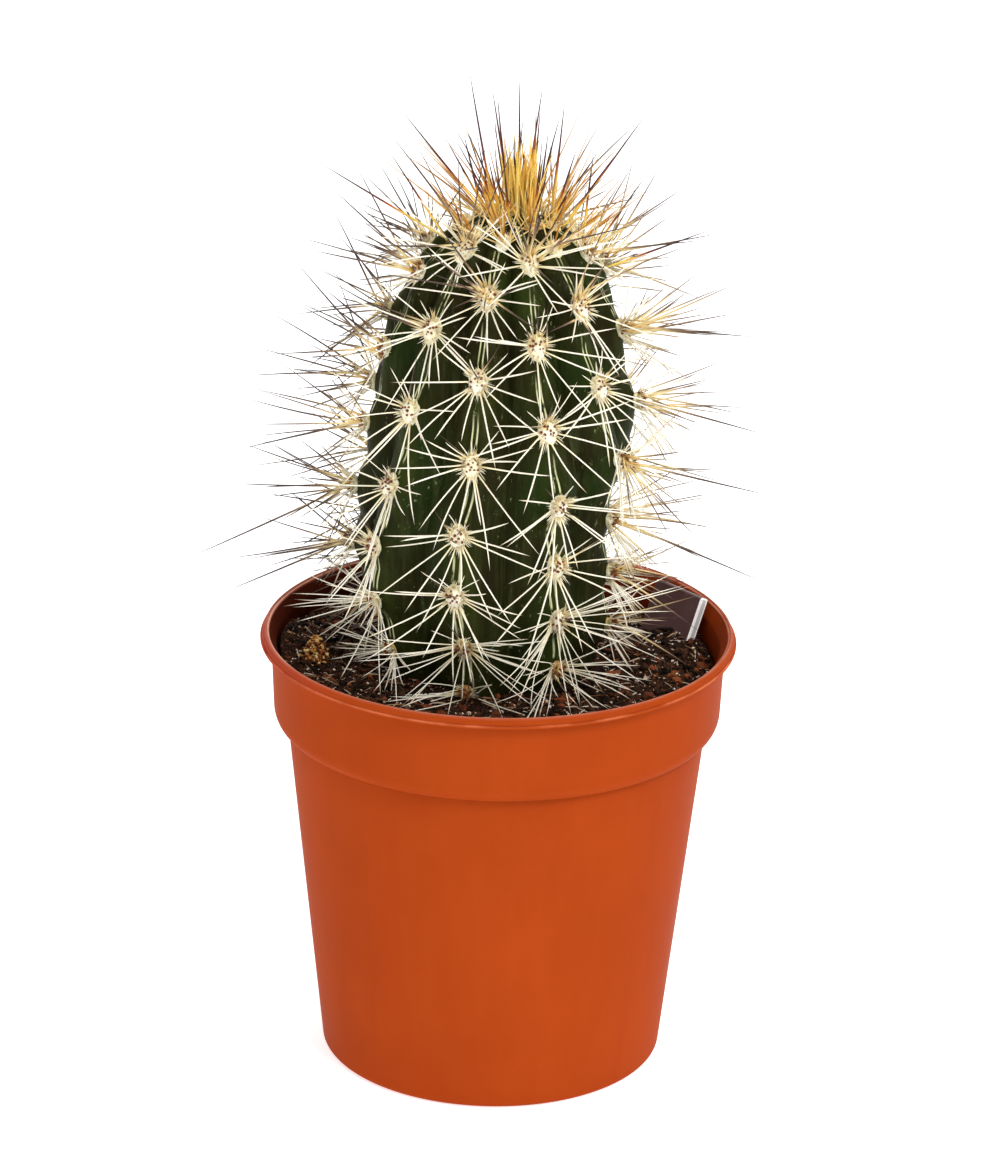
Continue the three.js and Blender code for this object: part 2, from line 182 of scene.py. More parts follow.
# The spines that stand out furthest: rib, row, length, degrees above the level, degrees sideways.
LONG_SPINES = (
    (9, 3, 41, -25, 3),
    (9, 4, 31, -24, 8),
    (9, 2, 28, -12, -4),
    (9, 1, 26, 2, 0),
    (9, 0, 25, 14, -6),
    (2, 2, 35, -9, 10),
    (2, 3, 37, -20, 6),
    (3, 1, 30, 4, 0),
    (3, 2, 29, -6, -8),
    (3, 0, 26, 12, 0),
)

# ---- The crown ----

CROWN_MIDDLE = (3.2, 0.5)  # the growing point
TUFT_RADIUS = 3.3
TUFT_SPINES = 96
TUFT_LENGTH = (9, 20)
TUFT_LEAN = 5
FLANK_RADIUS = 7.5
FLANK_SPINES = 30
FLANK_LENGTH = (14, 24)
FLANK_LEAN = (2, 34)
# The longest spines: the root's x from the growing point, how far back it is, and from there
# how far the tip is to the right and up.
CROWN_LANDMARKS = (
    (-5.5, -2, -7.2, 33.8),
    (-0.4, 0, -0.9, 32.1),
    (0.4, 2, 3.5, 29.8),
    (-2.6, 1, -3.8, 27.2),
    (-2.2, 3, -5.0, 27.8),
    (-7.2, -1, -19.6, 24.2),
    (-15.8, -4, -12.8, 20.0),
    (6.4, 1, 2.3, 27.2),
    (6.2, 3, 1.8, 21.5),
    (9.2, 2, 16.8, 25.8),
    (8.6, -1, 11.0, 17.0),
    (14.5, -3, 11.8, 18.5),
    (13.2, 2, 1.8, 21.5),
    (-16.5, -1, -27.3, 16.0),
    (-8.4, 4, -4.6, 18.0),
    (-7.6, 6, -9.0, 16.0),
    (2.0, 4, 1.6, 24.0),
    (3.2, -2, 2.2, 20.5),
    (6.4, -3, 5.0, 18.5),
    (17.5, 1, 24.0, 9.5),
)
# The young areoles around the tuft: how far out, how many, their size and how golden.
YOUNG_RINGS = ((7.5, 7, 0.6, 0.7), (12.5, 9, 0.8, 0.15))
YOUNG_SPINES = 11

# ---- The soil ----

SOIL_LEVEL = 90.4
SOIL_TILT = -0.045  # rise per millimetre towards +X
SOIL_MOUND = 1.0
# Local heaps of soil: x, y, height and reach.
SOIL_HEAPS = ((40, 13, 4.0, 9), (-46, 3, 3.2, 12))
SOIL_EDGE_RADIUS = 48.0
SOIL_SEGMENTS = 260
SOIL_RINGS = 84
CRUMBS = 1100
CRUMB_SIZE = (0.4, 1.5)
GRAINS = 7500
GRAIN_SIZE = (0.12, 0.42)
CHIPS = 170
CHIP_LENGTH = (1.4, 4.8)
SOIL_FIBRES = 1300
GOLD_LUMP = (-39.9, -7.0)
GOLD_LUMP_RADIUS = 2.8
GOLD_LUMP_HEIGHT = 5.6
GOLD_CRUMBS = 800
GOLD_STUFF = (0.46, 0.54, 0.62, 0.7, 0.77, 0.8, 0.84)  # its crumbs' places on the ramp of soil colours

# ---- The plant label ----

LABEL_WIDTH = 15.2
LABEL_LENGTH = 40
LABEL_THICKNESS = 2.4
LABEL_POINT = 9
LABEL_RADIUS, LABEL_AZIMUTH, LABEL_FACING = 45.8, 116.5, 130.3
LABEL_LEAN = 23
LABEL_TOP = 101.1


# ==== Helpers ====


def srgb(red, green, blue):
    """A colour of 0 to 255 values as Blender's linear RGBA."""

    def linear(value):
        v = value / 255
        return v / 12.92 if v <= 0.04045 else ((v + 0.055) / 1.055) ** 2.4

    return (linear(red), linear(green), linear(blue), 1.0)


def smoothstep(low, high, x):
    t = np.clip((x - low) / (high - low), 0, 1)
    return t * t * (3 - 2 * t)


def unit(vectors):
    """Rows scaled to length 1."""
    v = np.asarray(vectors, float)
    return v / np.linalg.norm(v, axis=-1, keepdims=True)


def dice(*key):
    """A generator of random numbers that depends on nothing but its key."""
    return np.random.default_rng([SEED, *key])


def waves(points, scale, octaves=3):
    """Fractal noise at each point, about -1 to 1."""
    return np.array(
        [noise.fractal(Vector(p) * scale, 1.0, 2.0, octaves) for p in np.atleast_2d(points)]
    )


def arc(x, y, radius_x, radius_y, start, end, steps):
    """Points of an arc in a profile."""
    angles = np.radians(np.linspace(start, end, steps + 1))
    return [(x + radius_x * math.cos(a), y + radius_y * math.sin(a)) for a in angles]


def make_object(name, vertices, faces, material, smooth=True):
    """A mesh object from millimetre points, riding on the plant's one body."""
    mesh = bpy.data.meshes.new(name)
    mesh.from_pydata((np.asarray(vertices) * MM).tolist(), [], [list(f) for f in faces])
    mesh.polygons.foreach_set("use_smooth", [smooth] * len(mesh.polygons))
    mesh.materials.append(material)
    made = bpy.data.objects.new(name, mesh)
    bpy.context.scene.collection.objects.link(made)
    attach(made, BODY)
    return made


def set_values(mesh, name, values):
    """Stores one number for each vertex, for a material to read."""
    attribute = mesh.attributes.new(name, "FLOAT", "POINT")
    attribute.data.foreach_set("value", np.asarray(values, np.float32))


def grid_faces(rings, segments, start=0):
    """Quads between rings of segments vertices, closed around."""
    faces = []
    for i in range(rings - 1):
        for j in range(segments):
            k = (j + 1) % segments
            a = start + i * segments
            b = a + segments
            faces.append((a + j, a + k, b + k, b + j))
    return faces


def lathe(profile, segments):
    """The vertices and faces of a closed solid turned about Z, from the axis to the axis."""
    inner = [(r, z) for r, z in profile if r > 1e-6]
    angles = np.linspace(0, 2 * math.pi, segments, endpoint=False)
    vertices = [(r * math.cos(a), r * math.sin(a), z) for r, z in inner for a in angles]
    faces = grid_faces(len(inner), segments)
    low = len(vertices)
    vertices += [(0, 0, profile[0][1]), (0, 0, profile[-1][1])]
    last = (len(inner) - 1) * segments
    for j in range(segments):
        k = (j + 1) % segments
        faces.append((low, k, j))
        faces.append((low + 1, last + j, last + k))
    return vertices, faces


# ==== Materials ====


class Paint:
    """One node material, built a node at a time."""

    def __init__(self, name, roughness=0.5, shine=0.25):
        self.material = bpy.data.materials.new(name)
        self.material.use_nodes = True
        self.nodes = self.material.node_tree.nodes
        self.links = self.material.node_tree.links
        self.shader = self.nodes["Principled BSDF"]
        self.shader.inputs["Roughness"].default_value = roughness
        self.shader.inputs["Specular IOR Level"].default_value = shine

    def put(self, target, value):
        """Links a socket, or sets a constant, on an input."""
        if isinstance(value, bpy.types.NodeSocket):
            self.links.new(value, target)
        else:
            target.default_value = value

    def node(self, kind, inputs=None, **settings):
        made = self.nodes.new(kind)
        for key, value in settings.items():
            setattr(made, key, value)
        for key, value in (inputs or {}).items():
            self.put(made.inputs[key], value)
        return made

    def place(self, stretch=(1, 1, 1)):
        """The point's own place in metres, squeezed along each axis."""
        coordinates = self.node("ShaderNodeTexCoord").outputs["Object"]
        mapping = self.node("ShaderNodeMapping", {"Vector": coordinates, "Scale": stretch})
        return mapping.outputs["Vector"]

    def noise(self, scale, detail=3.0, stretch=(1, 1, 1), roughness=0.5):
        inputs = {
            "Vector": self.place(stretch),
            "Scale": scale,
            "Detail": detail,
            "Roughness": roughness,
        }
        return self.node("ShaderNodeTexNoise", inputs).outputs["Fac"]

    def specks(self, scale, size, stretch=(1, 1, 1)):
        """1 in small round spots and 0 between them."""
        inputs = {"Vector": self.place(stretch), "Scale": scale}
        distance = self.node("ShaderNodeTexVoronoi", inputs).outputs["Distance"]
        return self.ramp(distance, ((size * 0.6, 1), (size, 0)))

    def value(self, name):
        return self.node("ShaderNodeAttribute", attribute_name=name).outputs["Fac"]

    def map_axis(self, axis):
        """The X or Y of the piece's own map, which the needles and crumbs are painted by."""
        coordinates = self.node("ShaderNodeUVMap", uv_map="OFBake").outputs["UV"]
        return self.node("ShaderNodeSeparateXYZ", {"Vector": coordinates}).outputs[axis]

    def math(self, operation, a, b=0.0, clamp=False):
        made = self.node("ShaderNodeMath", {0: a, 1: b}, operation=operation, use_clamp=clamp)
        return made.outputs[0]

    def ramp(self, fac, stops, interpolation="LINEAR"):
        """A colour ramp. A stop is a place with a colour or a number."""
        made = self.node("ShaderNodeValToRGB", {"Fac": fac})
        made.color_ramp.interpolation = interpolation
        elements = made.color_ramp.elements
        while len(elements) < len(stops):
            elements.new(0.5)
        for element, (position, colour) in zip(elements, stops):
            element.position = position
            number = isinstance(colour, (int, float))
            element.color = (colour, colour, colour, 1) if number else colour
        return made.outputs["Color"]

    def mix(self, fac, a, b, blend="MIX"):
        made = self.node("ShaderNodeMix", data_type="RGBA", blend_type=blend)
        colours = [s for s in made.inputs if s.type == "RGBA"]
        self.put(made.inputs["Factor"], fac)
        self.put(colours[0], a)
        self.put(colours[1], b)
        return next(s for s in made.outputs if s.type == "RGBA")

    def scatter(self, weight, reach):
        """Light that passes under the surface, about reach millimetres far."""
        self.shader.inputs["Subsurface Weight"].default_value = weight
        self.shader.inputs["Subsurface Scale"].default_value = reach * MM
        self.shader.inputs["Subsurface Radius"].default_value = (1.0, 0.9, 0.75)

    def colour(self, value):
        self.put(self.shader.inputs["Base Color"], value)

    def roughness(self, value):
        self.put(self.shader.inputs["Roughness"], value)

    def bump(self, height, distance, strength=1.0):
        """Bumps of a height in millimetres."""
        inputs = {"Height": height, "Strength": strength, "Distance": distance * MM}
        made = self.node("ShaderNodeBump", inputs)
        self.put(self.shader.inputs["Normal"], made.outputs["Normal"])


def paint_pot():
    paint = Paint("pot_plastic", shine=0.01)
    cloudy = paint.noise(38, 4.0)
    colour = paint.ramp(cloudy, ((0.3, srgb(157, 60, 18)), (0.7, srgb(166, 65, 21))))
    streaks = paint.ramp(paint.noise(260, 3.0, (1, 1, 0.12)), ((0.35, 0), (0.75, 0.22)))
    colour = paint.mix(streaks, colour, srgb(150, 53, 12))
    grit = paint.ramp(paint.noise(2600, 2.0), ((0.66, 0), (0.74, 0.35)))
    colour = paint.mix(grit, colour, srgb(136, 46, 12))
    # Painted shade: the inner wall is darkened, fully on the left and at the back and hardly on the right, where
    # the key light falls.
    inside = paint.value("inside")
    colour = paint.mix(paint.math("MULTIPLY", inside, 0.9), colour, srgb(74, 28, 18))
    # Soil stains near the soil line, partly painted shade: they are stronger on the left and at the back, which
    # lie in shade, than on the right.
    stains = paint.ramp(paint.noise(120, 6.0), ((0.35, 0.5), (0.65, 1)))
    soil_stain_and_shade = paint.math("MULTIPLY", paint.value("soil_stain_and_shade"), stains, clamp=True)
    colour = paint.mix(soil_stain_and_shade, colour, srgb(34, 16, 10))
    # Painted highlight: broken pale lines where the lip's ledge and the shoulder's foot catch the light.
    edge_highlight = paint.ramp(paint.noise(110, 7.0), ((0.4, 0.15), (0.58, 0.95)))
    edge_highlight = paint.math("MULTIPLY", paint.value("edge"), edge_highlight)
    colour = paint.mix(edge_highlight, colour, srgb(240, 138, 94))
    # Painted shade: the lip's top on the left, away from the key light, is tinted pinker red.
    colour = paint.mix(paint.math("MULTIPLY", paint.value("left_lip_shade"), 0.38), colour, srgb(176, 66, 62))
    # Painted highlight: a pale pink line along the lip's inner top edge, strongest on the left, and a fainter
    # one along the lip's crest.
    rim = paint.ramp(paint.noise(140, 5.0), ((0.3, 0.55), (0.55, 1)))
    colour = paint.mix(paint.math("MULTIPLY", paint.value("rim"), rim), colour, srgb(244, 186, 162))
    # Painted shade: a dark line in the crease under the shoulder's ledge and a fainter one under the lip.
    crease_shade = paint.math("MULTIPLY", paint.value("crease_shade"), 0.9)
    colour = paint.mix(crease_shade, colour, srgb(84, 24, 4))
    paint.colour(colour)
    paint.roughness(paint.ramp(cloudy, ((0.2, 0.42), (0.8, 0.55))))
    paint.bump(paint.noise(1500, 2.0), 0.02, 0.5)
    return paint.material


def paint_stem():
    """Dark green skin. "across" is the distance from the nearest rib's crest, and "above" the
    height over the areole below, both in millimetres."""
    paint = Paint("stem_skin", 0.5, shine=0.03)
    across = paint.value("across")
    above = paint.value("above")
    colour = paint.ramp(
        paint.noise(70, 5.0),
        ((0.32, srgb(34, 30, 12)), (0.5, srgb(33, 34, 12)), (0.68, srgb(31, 43, 13))),
    )
    # Lighter green patches along the rib crests: partly the skin's own mottling, partly a painted highlight
    # where the crests catch the light.
    crest = paint.math("DIVIDE", across, 8.0)
    glow = paint.ramp(crest, ((0.0, 1), (0.28, 0.8), (0.6, 0)))
    patches = paint.ramp(paint.noise(130, 5.0, (1, 1, 0.4)), ((0.44, 0), (0.72, 0.75)))
    colour = paint.mix(paint.math("MULTIPLY", patches, glow), colour, srgb(58, 66, 22))
    # Painted reflection: broken lighter streaks along the bottoms of the grooves.
    deep = paint.ramp(crest, ((0.72, 0), (1.0, 0.7)))
    broken = paint.ramp(paint.noise(330, 6.0, (1, 1, 0.12)), ((0.5, 0), (0.7, 1)))
    groove_reflection = paint.math("MULTIPLY", broken, deep)
    colour = paint.mix(groove_reflection, colour, srgb(92, 102, 62))
    off_line = paint.math("ABSOLUTE", paint.math("SUBTRACT", across, 0.55))
    line = paint.ramp(off_line, ((0.09, 1), (0.25, 0)))
    reach = paint.math("DIVIDE", above, 20.0)
    reach = paint.ramp(reach, ((0.12, 0), (0.16, 1), (0.36, 0.9), (0.6, 0.0)))
    dashes = paint.ramp(paint.noise(620, 4.0, (1, 1, 0.28)), ((0.36, 0), (0.52, 1)))
    lines = paint.math("MULTIPLY", paint.math("MULTIPLY", line, reach), dashes)
    colour = paint.mix(lines, colour, srgb(222, 224, 172))
    streaks = paint.ramp(paint.noise(800, 4.0, (1, 1, 0.05), 0.6), ((0.5, 0), (0.75, 0.55)))
    colour = paint.mix(streaks, colour, srgb(60, 64, 34))
    flecks = paint.ramp(paint.noise(900, 5.0, (1, 1, 0.5), 0.7), ((0.62, 0), (0.7, 0.8)))
    where = paint.ramp(paint.noise(110, 3.0), ((0.42, 0), (0.58, 1)))
    colour = paint.mix(paint.math("MULTIPLY", flecks, where), colour, srgb(150, 160, 118))
    paint.colour(colour)
    paint.roughness(paint.ramp(paint.noise(200, 3.0), ((0.3, 0.42), (0.7, 0.56))))
    paint.bump(paint.noise(1900, 3.0), 0.03, 0.6)
    return paint.material


BANDS = 16  # strips of the needles' map, each with its own tint


def paint_horn(name, stops, roughness):
    """Spines, coloured along their length. Each strip of the map has its own tint."""
    paint = Paint(name, roughness, shine=0.15)
    along = paint.map_axis("X")
    strip = paint.math("FLOOR", paint.math("MULTIPLY", paint.map_axis("Y"), BANDS))
    tint = paint.math("FRACT", paint.math("MULTIPLY", strip, 0.618))
    shift = paint.math("ADD", paint.math("MULTIPLY", tint, 0.5), 0.75)
    colour = paint.ramp(paint.math("MULTIPLY", along, shift, clamp=True), stops)
    shade = paint.math("FRACT", paint.math("MULTIPLY", strip, 0.377))
    amount = paint.math("MULTIPLY", shade, 0.15)
    paint.colour(paint.mix(amount, colour, srgb(206, 174, 122), "MULTIPLY"))
    return paint.material


def paint_radial_horn():
    stops = (
        (0.0, srgb(242, 208, 124)),
        (0.03, srgb(255, 243, 200)),
        (0.15, srgb(255, 250, 232)),
        (0.42, srgb(255, 248, 230)),
        (0.52, srgb(234, 218, 184)),
        (0.66, srgb(146, 128, 110)),
        (1.0, srgb(70, 62, 60)),
    )
    return paint_horn("radial_horn", stops, 0.42)


def paint_central_horn():
    stops = (
        (0.0, srgb(112, 42, 20)),
        (0.05, srgb(230, 192, 116)),
        (0.14, srgb(252, 234, 178)),
        (0.24, srgb(216, 190, 142)),
        (0.34, srgb(136, 112, 92)),
        (0.5, srgb(84, 68, 60)),
        (1.0, srgb(56, 48, 48)),
    )
    return paint_horn("central_horn", stops, 0.4)


def paint_crown_horn():
    stops = (
        (0.0, srgb(255, 228, 136)),
        (0.2, srgb(255, 220, 108)),
        (0.3, srgb(246, 192, 78)),
        (0.37, srgb(184, 98, 42)),
        (0.45, srgb(108, 48, 36)),
        (0.6, srgb(66, 42, 40)),
        (1.0, srgb(50, 42, 46)),
    )
    return paint_horn("crown_horn", stops, 0.4)


def paint_cushion():
    """The felted wool of an areole, from white to golden and brown with its own tone."""
    paint = Paint("areole_felt", 0.95, shine=0.1)
    paint.scatter(0.4, 1.5)
    mottle = paint.ramp(paint.noise(1100, 4.0), ((0.42, 0.0), (0.78, 0.24)))
    tone = paint.math("ADD", paint.value("tone"), mottle)
    colour = paint.ramp(
        tone,
        (
            (0.0, srgb(255, 250, 228)),
            (0.3, srgb(255, 240, 190)),
            (0.55, srgb(246, 212, 134)),
            (0.82, srgb(200, 146, 80)),
            (1.0, srgb(112, 66, 42)),
        ),
    )
    paint.colour(colour)
    paint.bump(paint.noise(1500, 5.0), 0.5)
    return paint.material


def paint_wool():
    """Wool, from white at the map's low strips to golden and brown at its high ones."""
    paint = Paint("areole_wool", 0.9, shine=0.1)
    paint.scatter(0.4, 1.0)
    tone = paint.ramp(
        paint.map_axis("Y"),
        (
            (0.0, srgb(255, 248, 224)),
            (0.35, srgb(252, 236, 182)),
            (0.62, srgb(236, 200, 112)),
            (0.82, srgb(180, 124, 60)),
            (1.0, srgb(104, 62, 40)),
        ),
    )
    roots = paint.ramp(paint.map_axis("X"), ((0.0, srgb(226, 208, 172)), (0.5, srgb(255, 255, 255))))
    paint.colour(paint.mix(1.0, tone, roots, "MULTIPLY"))
    return paint.material


def paint_soil():
    paint = Paint("potting_soil", 0.95, shine=0.02)
    colour = paint.ramp(
        paint.noise(900, 6.0, roughness=0.7),
        (
            (0.3, srgb(16, 10, 6)),
            (0.48, srgb(46, 31, 22)),
            (0.6, srgb(86, 58, 42)),
            (0.76, srgb(150, 106, 78)),
        ),
    )
    damp = paint.ramp(paint.noise(70, 3.0), ((0.35, 0.0), (0.7, 0.55)))
    paint.colour(paint.mix(damp, colour, srgb(20, 15, 12)))
    paint.bump(paint.noise(1400, 5.0), 0.35)
    return paint.material


def paint_crumbs():
    """Crumbs, chips and fibres: X of the map picks the stuff and Y lightens it, so that each bit's underside
    gets painted shade.
    """
    paint = Paint("soil_bits", 0.55, shine=0.05)
    stuff = paint.ramp(
        paint.map_axis("X"),
        (
            (0.0, srgb(16, 10, 7)),
            (0.22, srgb(34, 21, 14)),
            (0.42, srgb(66, 40, 27)),
            (0.56, srgb(112, 58, 34)),
            (0.68, srgb(140, 78, 44)),
            (0.78, srgb(222, 162, 82)),
            (0.84, srgb(255, 220, 150)),
            # The palest stops colour the pale grains: partly the soil's own pale bits, partly painted glints of
            # the wet soil.
            (0.9, srgb(222, 198, 176)),
            (1.0, srgb(248, 240, 232)),
        ),
    )
    # Painted shade: darker where the map's Y is low, on the underside of each bit.
    light = paint.ramp(paint.map_axis("Y"), ((0.0, 0.62), (1.0, 1.0)))
    paint.colour(paint.mix(1.0, stuff, light, "MULTIPLY"))
    return paint.material


def paint_label():
    paint = Paint("label_plastic")
    colour = paint.ramp(
        paint.noise(120, 4.0), ((0.3, srgb(88, 61, 61)), (0.7, srgb(102, 75, 75)))
    )
    # The cut edges are pale grey, with white borders along their bevels that are painted highlights.
    edge = paint.value("edge")
    rim = paint.ramp(edge, ((0.6, srgb(255, 252, 250)), (1.0, srgb(190, 191, 188))))
    colour = paint.mix(paint.ramp(edge, ((0.02, 0), (0.04, 1))), colour, rim)
    scratches = paint.ramp(paint.noise(900, 3.0, (1, 1, 0.1)), ((0.62, 0), (0.8, 0.25)))
    paint.colour(paint.mix(scratches, colour, srgb(150, 132, 134)))
    paint.roughness(paint.ramp(paint.noise(260, 3.0), ((0.3, 0.34), (0.7, 0.5))))
    paint.bump(paint.noise(1300, 2.0), 0.02, 0.5)
    return paint.material


def paint_floor():
    paint = Paint("studio_floor", 0.9)
    paint.colour(srgb(250, 250, 250))
    paint.shader.inputs["Emission Color"].default_value = (1, 1, 1, 1)
    paint.shader.inputs["Emission Strength"].default_value = FLOOR_GLOW
    return paint.material


# ==== The camera and the studio ====


def aim(made, place, target):
    """Puts a light at a place and turns it to a target, both in millimetres."""
    made.location = Vector(place) * MM
    turn = (Vector(target) * MM - made.location).to_track_quat("-Z", "Y")
    made.rotation_euler = turn.to_euler()


def add_camera():
    camera = bpy.data.cameras.new("camera")
    camera.sensor_width = SENSOR
    camera.lens = FOCAL_PIXELS * SENSOR / IMAGE_HEIGHT
    camera.clip_start = 0.05
    camera.clip_end = 100
    made = bpy.data.objects.new("camera", camera)
    bpy.context.scene.collection.objects.link(made)
    bpy.context.scene.camera = made
    elevation = math.radians(CAMERA_ELEVATION)
    roll = math.radians(CAMERA_ROLL)
    forward = Vector((0, math.cos(elevation), -math.sin(elevation)))
    level = Vector((1, 0, 0))
    upward = Vector((0, math.sin(elevation), math.cos(elevation)))
    right = level * math.cos(roll) + upward * math.sin(roll)
    up = upward * math.cos(roll) - level * math.sin(roll)
    turn = Matrix((right, up, -forward)).transposed().to_4x4()
    turn.translation = (Vector(CAMERA_AIM) - forward * CAMERA_DISTANCE) * MM
    made.matrix_world = turn


def add_softbox(name, place, size, power):
    light = bpy.data.lights.new(name, "AREA")
    light.size = size * MM
    light.energy = power
    made = bpy.data.objects.new(name, light)
    bpy.context.scene.collection.objects.link(made)
    aim(made, place, CAMERA_AIM)


def add_studio():
    world = bpy.data.worlds.new("studio")
    world.use_nodes = True
    background = world.node_tree.nodes["Background"]
    background.inputs["Color"].default_value = (1, 1, 1, 1)
    background.inputs["Strength"].default_value = WORLD_STRENGTH
    bpy.context.scene.world = world
    bpy.context.scene.view_settings.view_transform = "Standard"
    for name, (place, size, power) in SOFTBOXES.items():
        add_softbox(name, place, size, power)
    half = FLOOR_SIZE * MM / 2
    mesh = bpy.data.meshes.new("floor")
    corners = [(x, y, -FLOOR_DROP * MM) for x, y in ((-half, -half), (half, -half), (half, half), (-half, half))]
    mesh.from_pydata(corners, [], [(0, 1, 2, 3)])
    mesh.materials.append(paint_floor())
    floor = bpy.data.objects.new("floor", mesh)
    bpy.context.scene.collection.objects.link(floor)


# ==== The pot ====


def pot_profile():
    """The pot's section from the middle of its underside, out, up, over the lip and back in."""
    underside = [
        (0, 0),
        (CENTRE_DISC_RADIUS, 0),
        (CHANNEL_INNER, CHANNEL_HEIGHT),
        (CHANNEL_OUTER, CHANNEL_HEIGHT),
        (FOOT_RING_INNER, 0),
    ]
    foot = arc(FOOT_RADIUS - FOOT_ROUND, FOOT_ROUND, FOOT_ROUND, FOOT_ROUND, -90, 0, 6)
    heights = np.linspace(0.1, 0.9, 9)
    body = [
        (
            FOOT_RADIUS + (BODY_TOP_RADIUS - FOOT_RADIUS) * t,
            FOOT_ROUND + (SHOULDER_FOOT - FOOT_ROUND) * t,
        )
        for t in heights
    ]
    shoulder = arc(
        BODY_TOP_RADIUS + SHOULDER_LEDGE,
        SHOULDER_TOP,
        BAND_FOOT_RADIUS - BODY_TOP_RADIUS - SHOULDER_LEDGE,
        SHOULDER_TOP - SHOULDER_FOOT,
        -90,
        0,
        8,
    )
    outside = [
        *foot,
        *body,
        (BODY_TOP_RADIUS - 0.1, SHOULDER_FOOT - 0.6),
        (BODY_TOP_RADIUS - 0.1, SHOULDER_FOOT - 0.3),
        (BODY_TOP_RADIUS - 0.12, SHOULDER_FOOT + 0.1),
        (BODY_TOP_RADIUS + SHOULDER_LEDGE - 0.2, SHOULDER_FOOT - 0.1),
        *shoulder,
        (BAND_TOP_RADIUS - 0.25, LIP_FOOT - 5),
        (BAND_TOP_RADIUS, LIP_FOOT - 0.6),
        (BAND_TOP_RADIUS + 0.15, LIP_FOOT - 0.1),
    ]
    lip = [
        (LIP_RADIUS - 1.1, LIP_FOOT + 0.05),
        *arc(LIP_RADIUS - 0.3, LEDGE_HEIGHT - 0.3, 0.3, 0.3, -80, 70, 7),
        (LIP_RADIUS - 0.5, LEDGE_HEIGHT + 0.05),
        (LIP_RADIUS - 0.45, LEDGE_HEIGHT + 0.4),
        (LIP_RADIUS - 0.5, POT_HEIGHT - 0.95),
        (LIP_RADIUS - 0.7, POT_HEIGHT - 0.55),
        *arc(LIP_RADIUS - 1.3, POT_HEIGHT - 0.4, 0.5, 0.4, 30, 90, 5),
        *arc(INNER_EDGE_RADIUS + 0.35, INNER_EDGE_HEIGHT - 0.3, 0.35, 0.3, 80, 180, 5),
        (INNER_EDGE_RADIUS - 0.1, INNER_EDGE_HEIGHT - 0.6),
        (BAND_TOP_RADIUS - WALL + 0.1, LIP_FOOT - 0.2),
    ]
    inner_band = [
        (BAND_TOP_RADIUS - WALL - (BAND_TOP_RADIUS - BAND_FOOT_RADIUS) * t, z)
        for t, z in zip(np.linspace(0, 1, 9), np.linspace(LIP_FOOT - 1.2, SHOULDER_TOP + WALL, 9))
    ]
    inside = [
        *inner_band,
        (BODY_TOP_RADIUS - WALL, SHOULDER_FOOT + WALL),
        (FOOT_RADIUS - WALL, WALL + 1),
        (FOOT_RADIUS - WALL - 1, WALL),
    ]
    floor = [(r, z + WALL) for r, z in reversed(underside)]
    return [*underside, *outside, *lip, *inside, *floor]


def drill_cutter():
    """One mesh of all the drainage drills."""
    profile = [(0, -5), (DRAIN_HOLE_RADIUS, -5), (DRAIN_HOLE_RADIUS, 8), (0, 8)]
    points, faces = lathe(profile, 28)
    middle = (CHANNEL_INNER + CHANNEL_OUTER) / 2
    all_points, all_faces = [], []
    for i in range(DRAIN_HOLES):
        angle = (i + 0.5) * 2 * math.pi / DRAIN_HOLES
        start = len(all_points)
        x = middle * math.cos(angle)
        y = middle * math.sin(angle)
        all_points += [(px + x, py + y, pz) for px, py, pz in points]
        all_faces += [tuple(v + start for v in face) for face in faces]
    mesh = bpy.data.meshes.new("drills")
    mesh.from_pydata((np.array(all_points) * MM).tolist(), [], all_faces)
    made = bpy.data.objects.new("drills", mesh)
    bpy.context.scene.collection.objects.link(made)
    return made


def apply_modifiers(made):
    """Replaces an object's mesh by what its modifiers make of it."""
    graph = bpy.context.evaluated_depsgraph_get()
    mesh = bpy.data.meshes.new_from_object(made.evaluated_get(graph))
    made.modifiers.clear()
    made.data = mesh


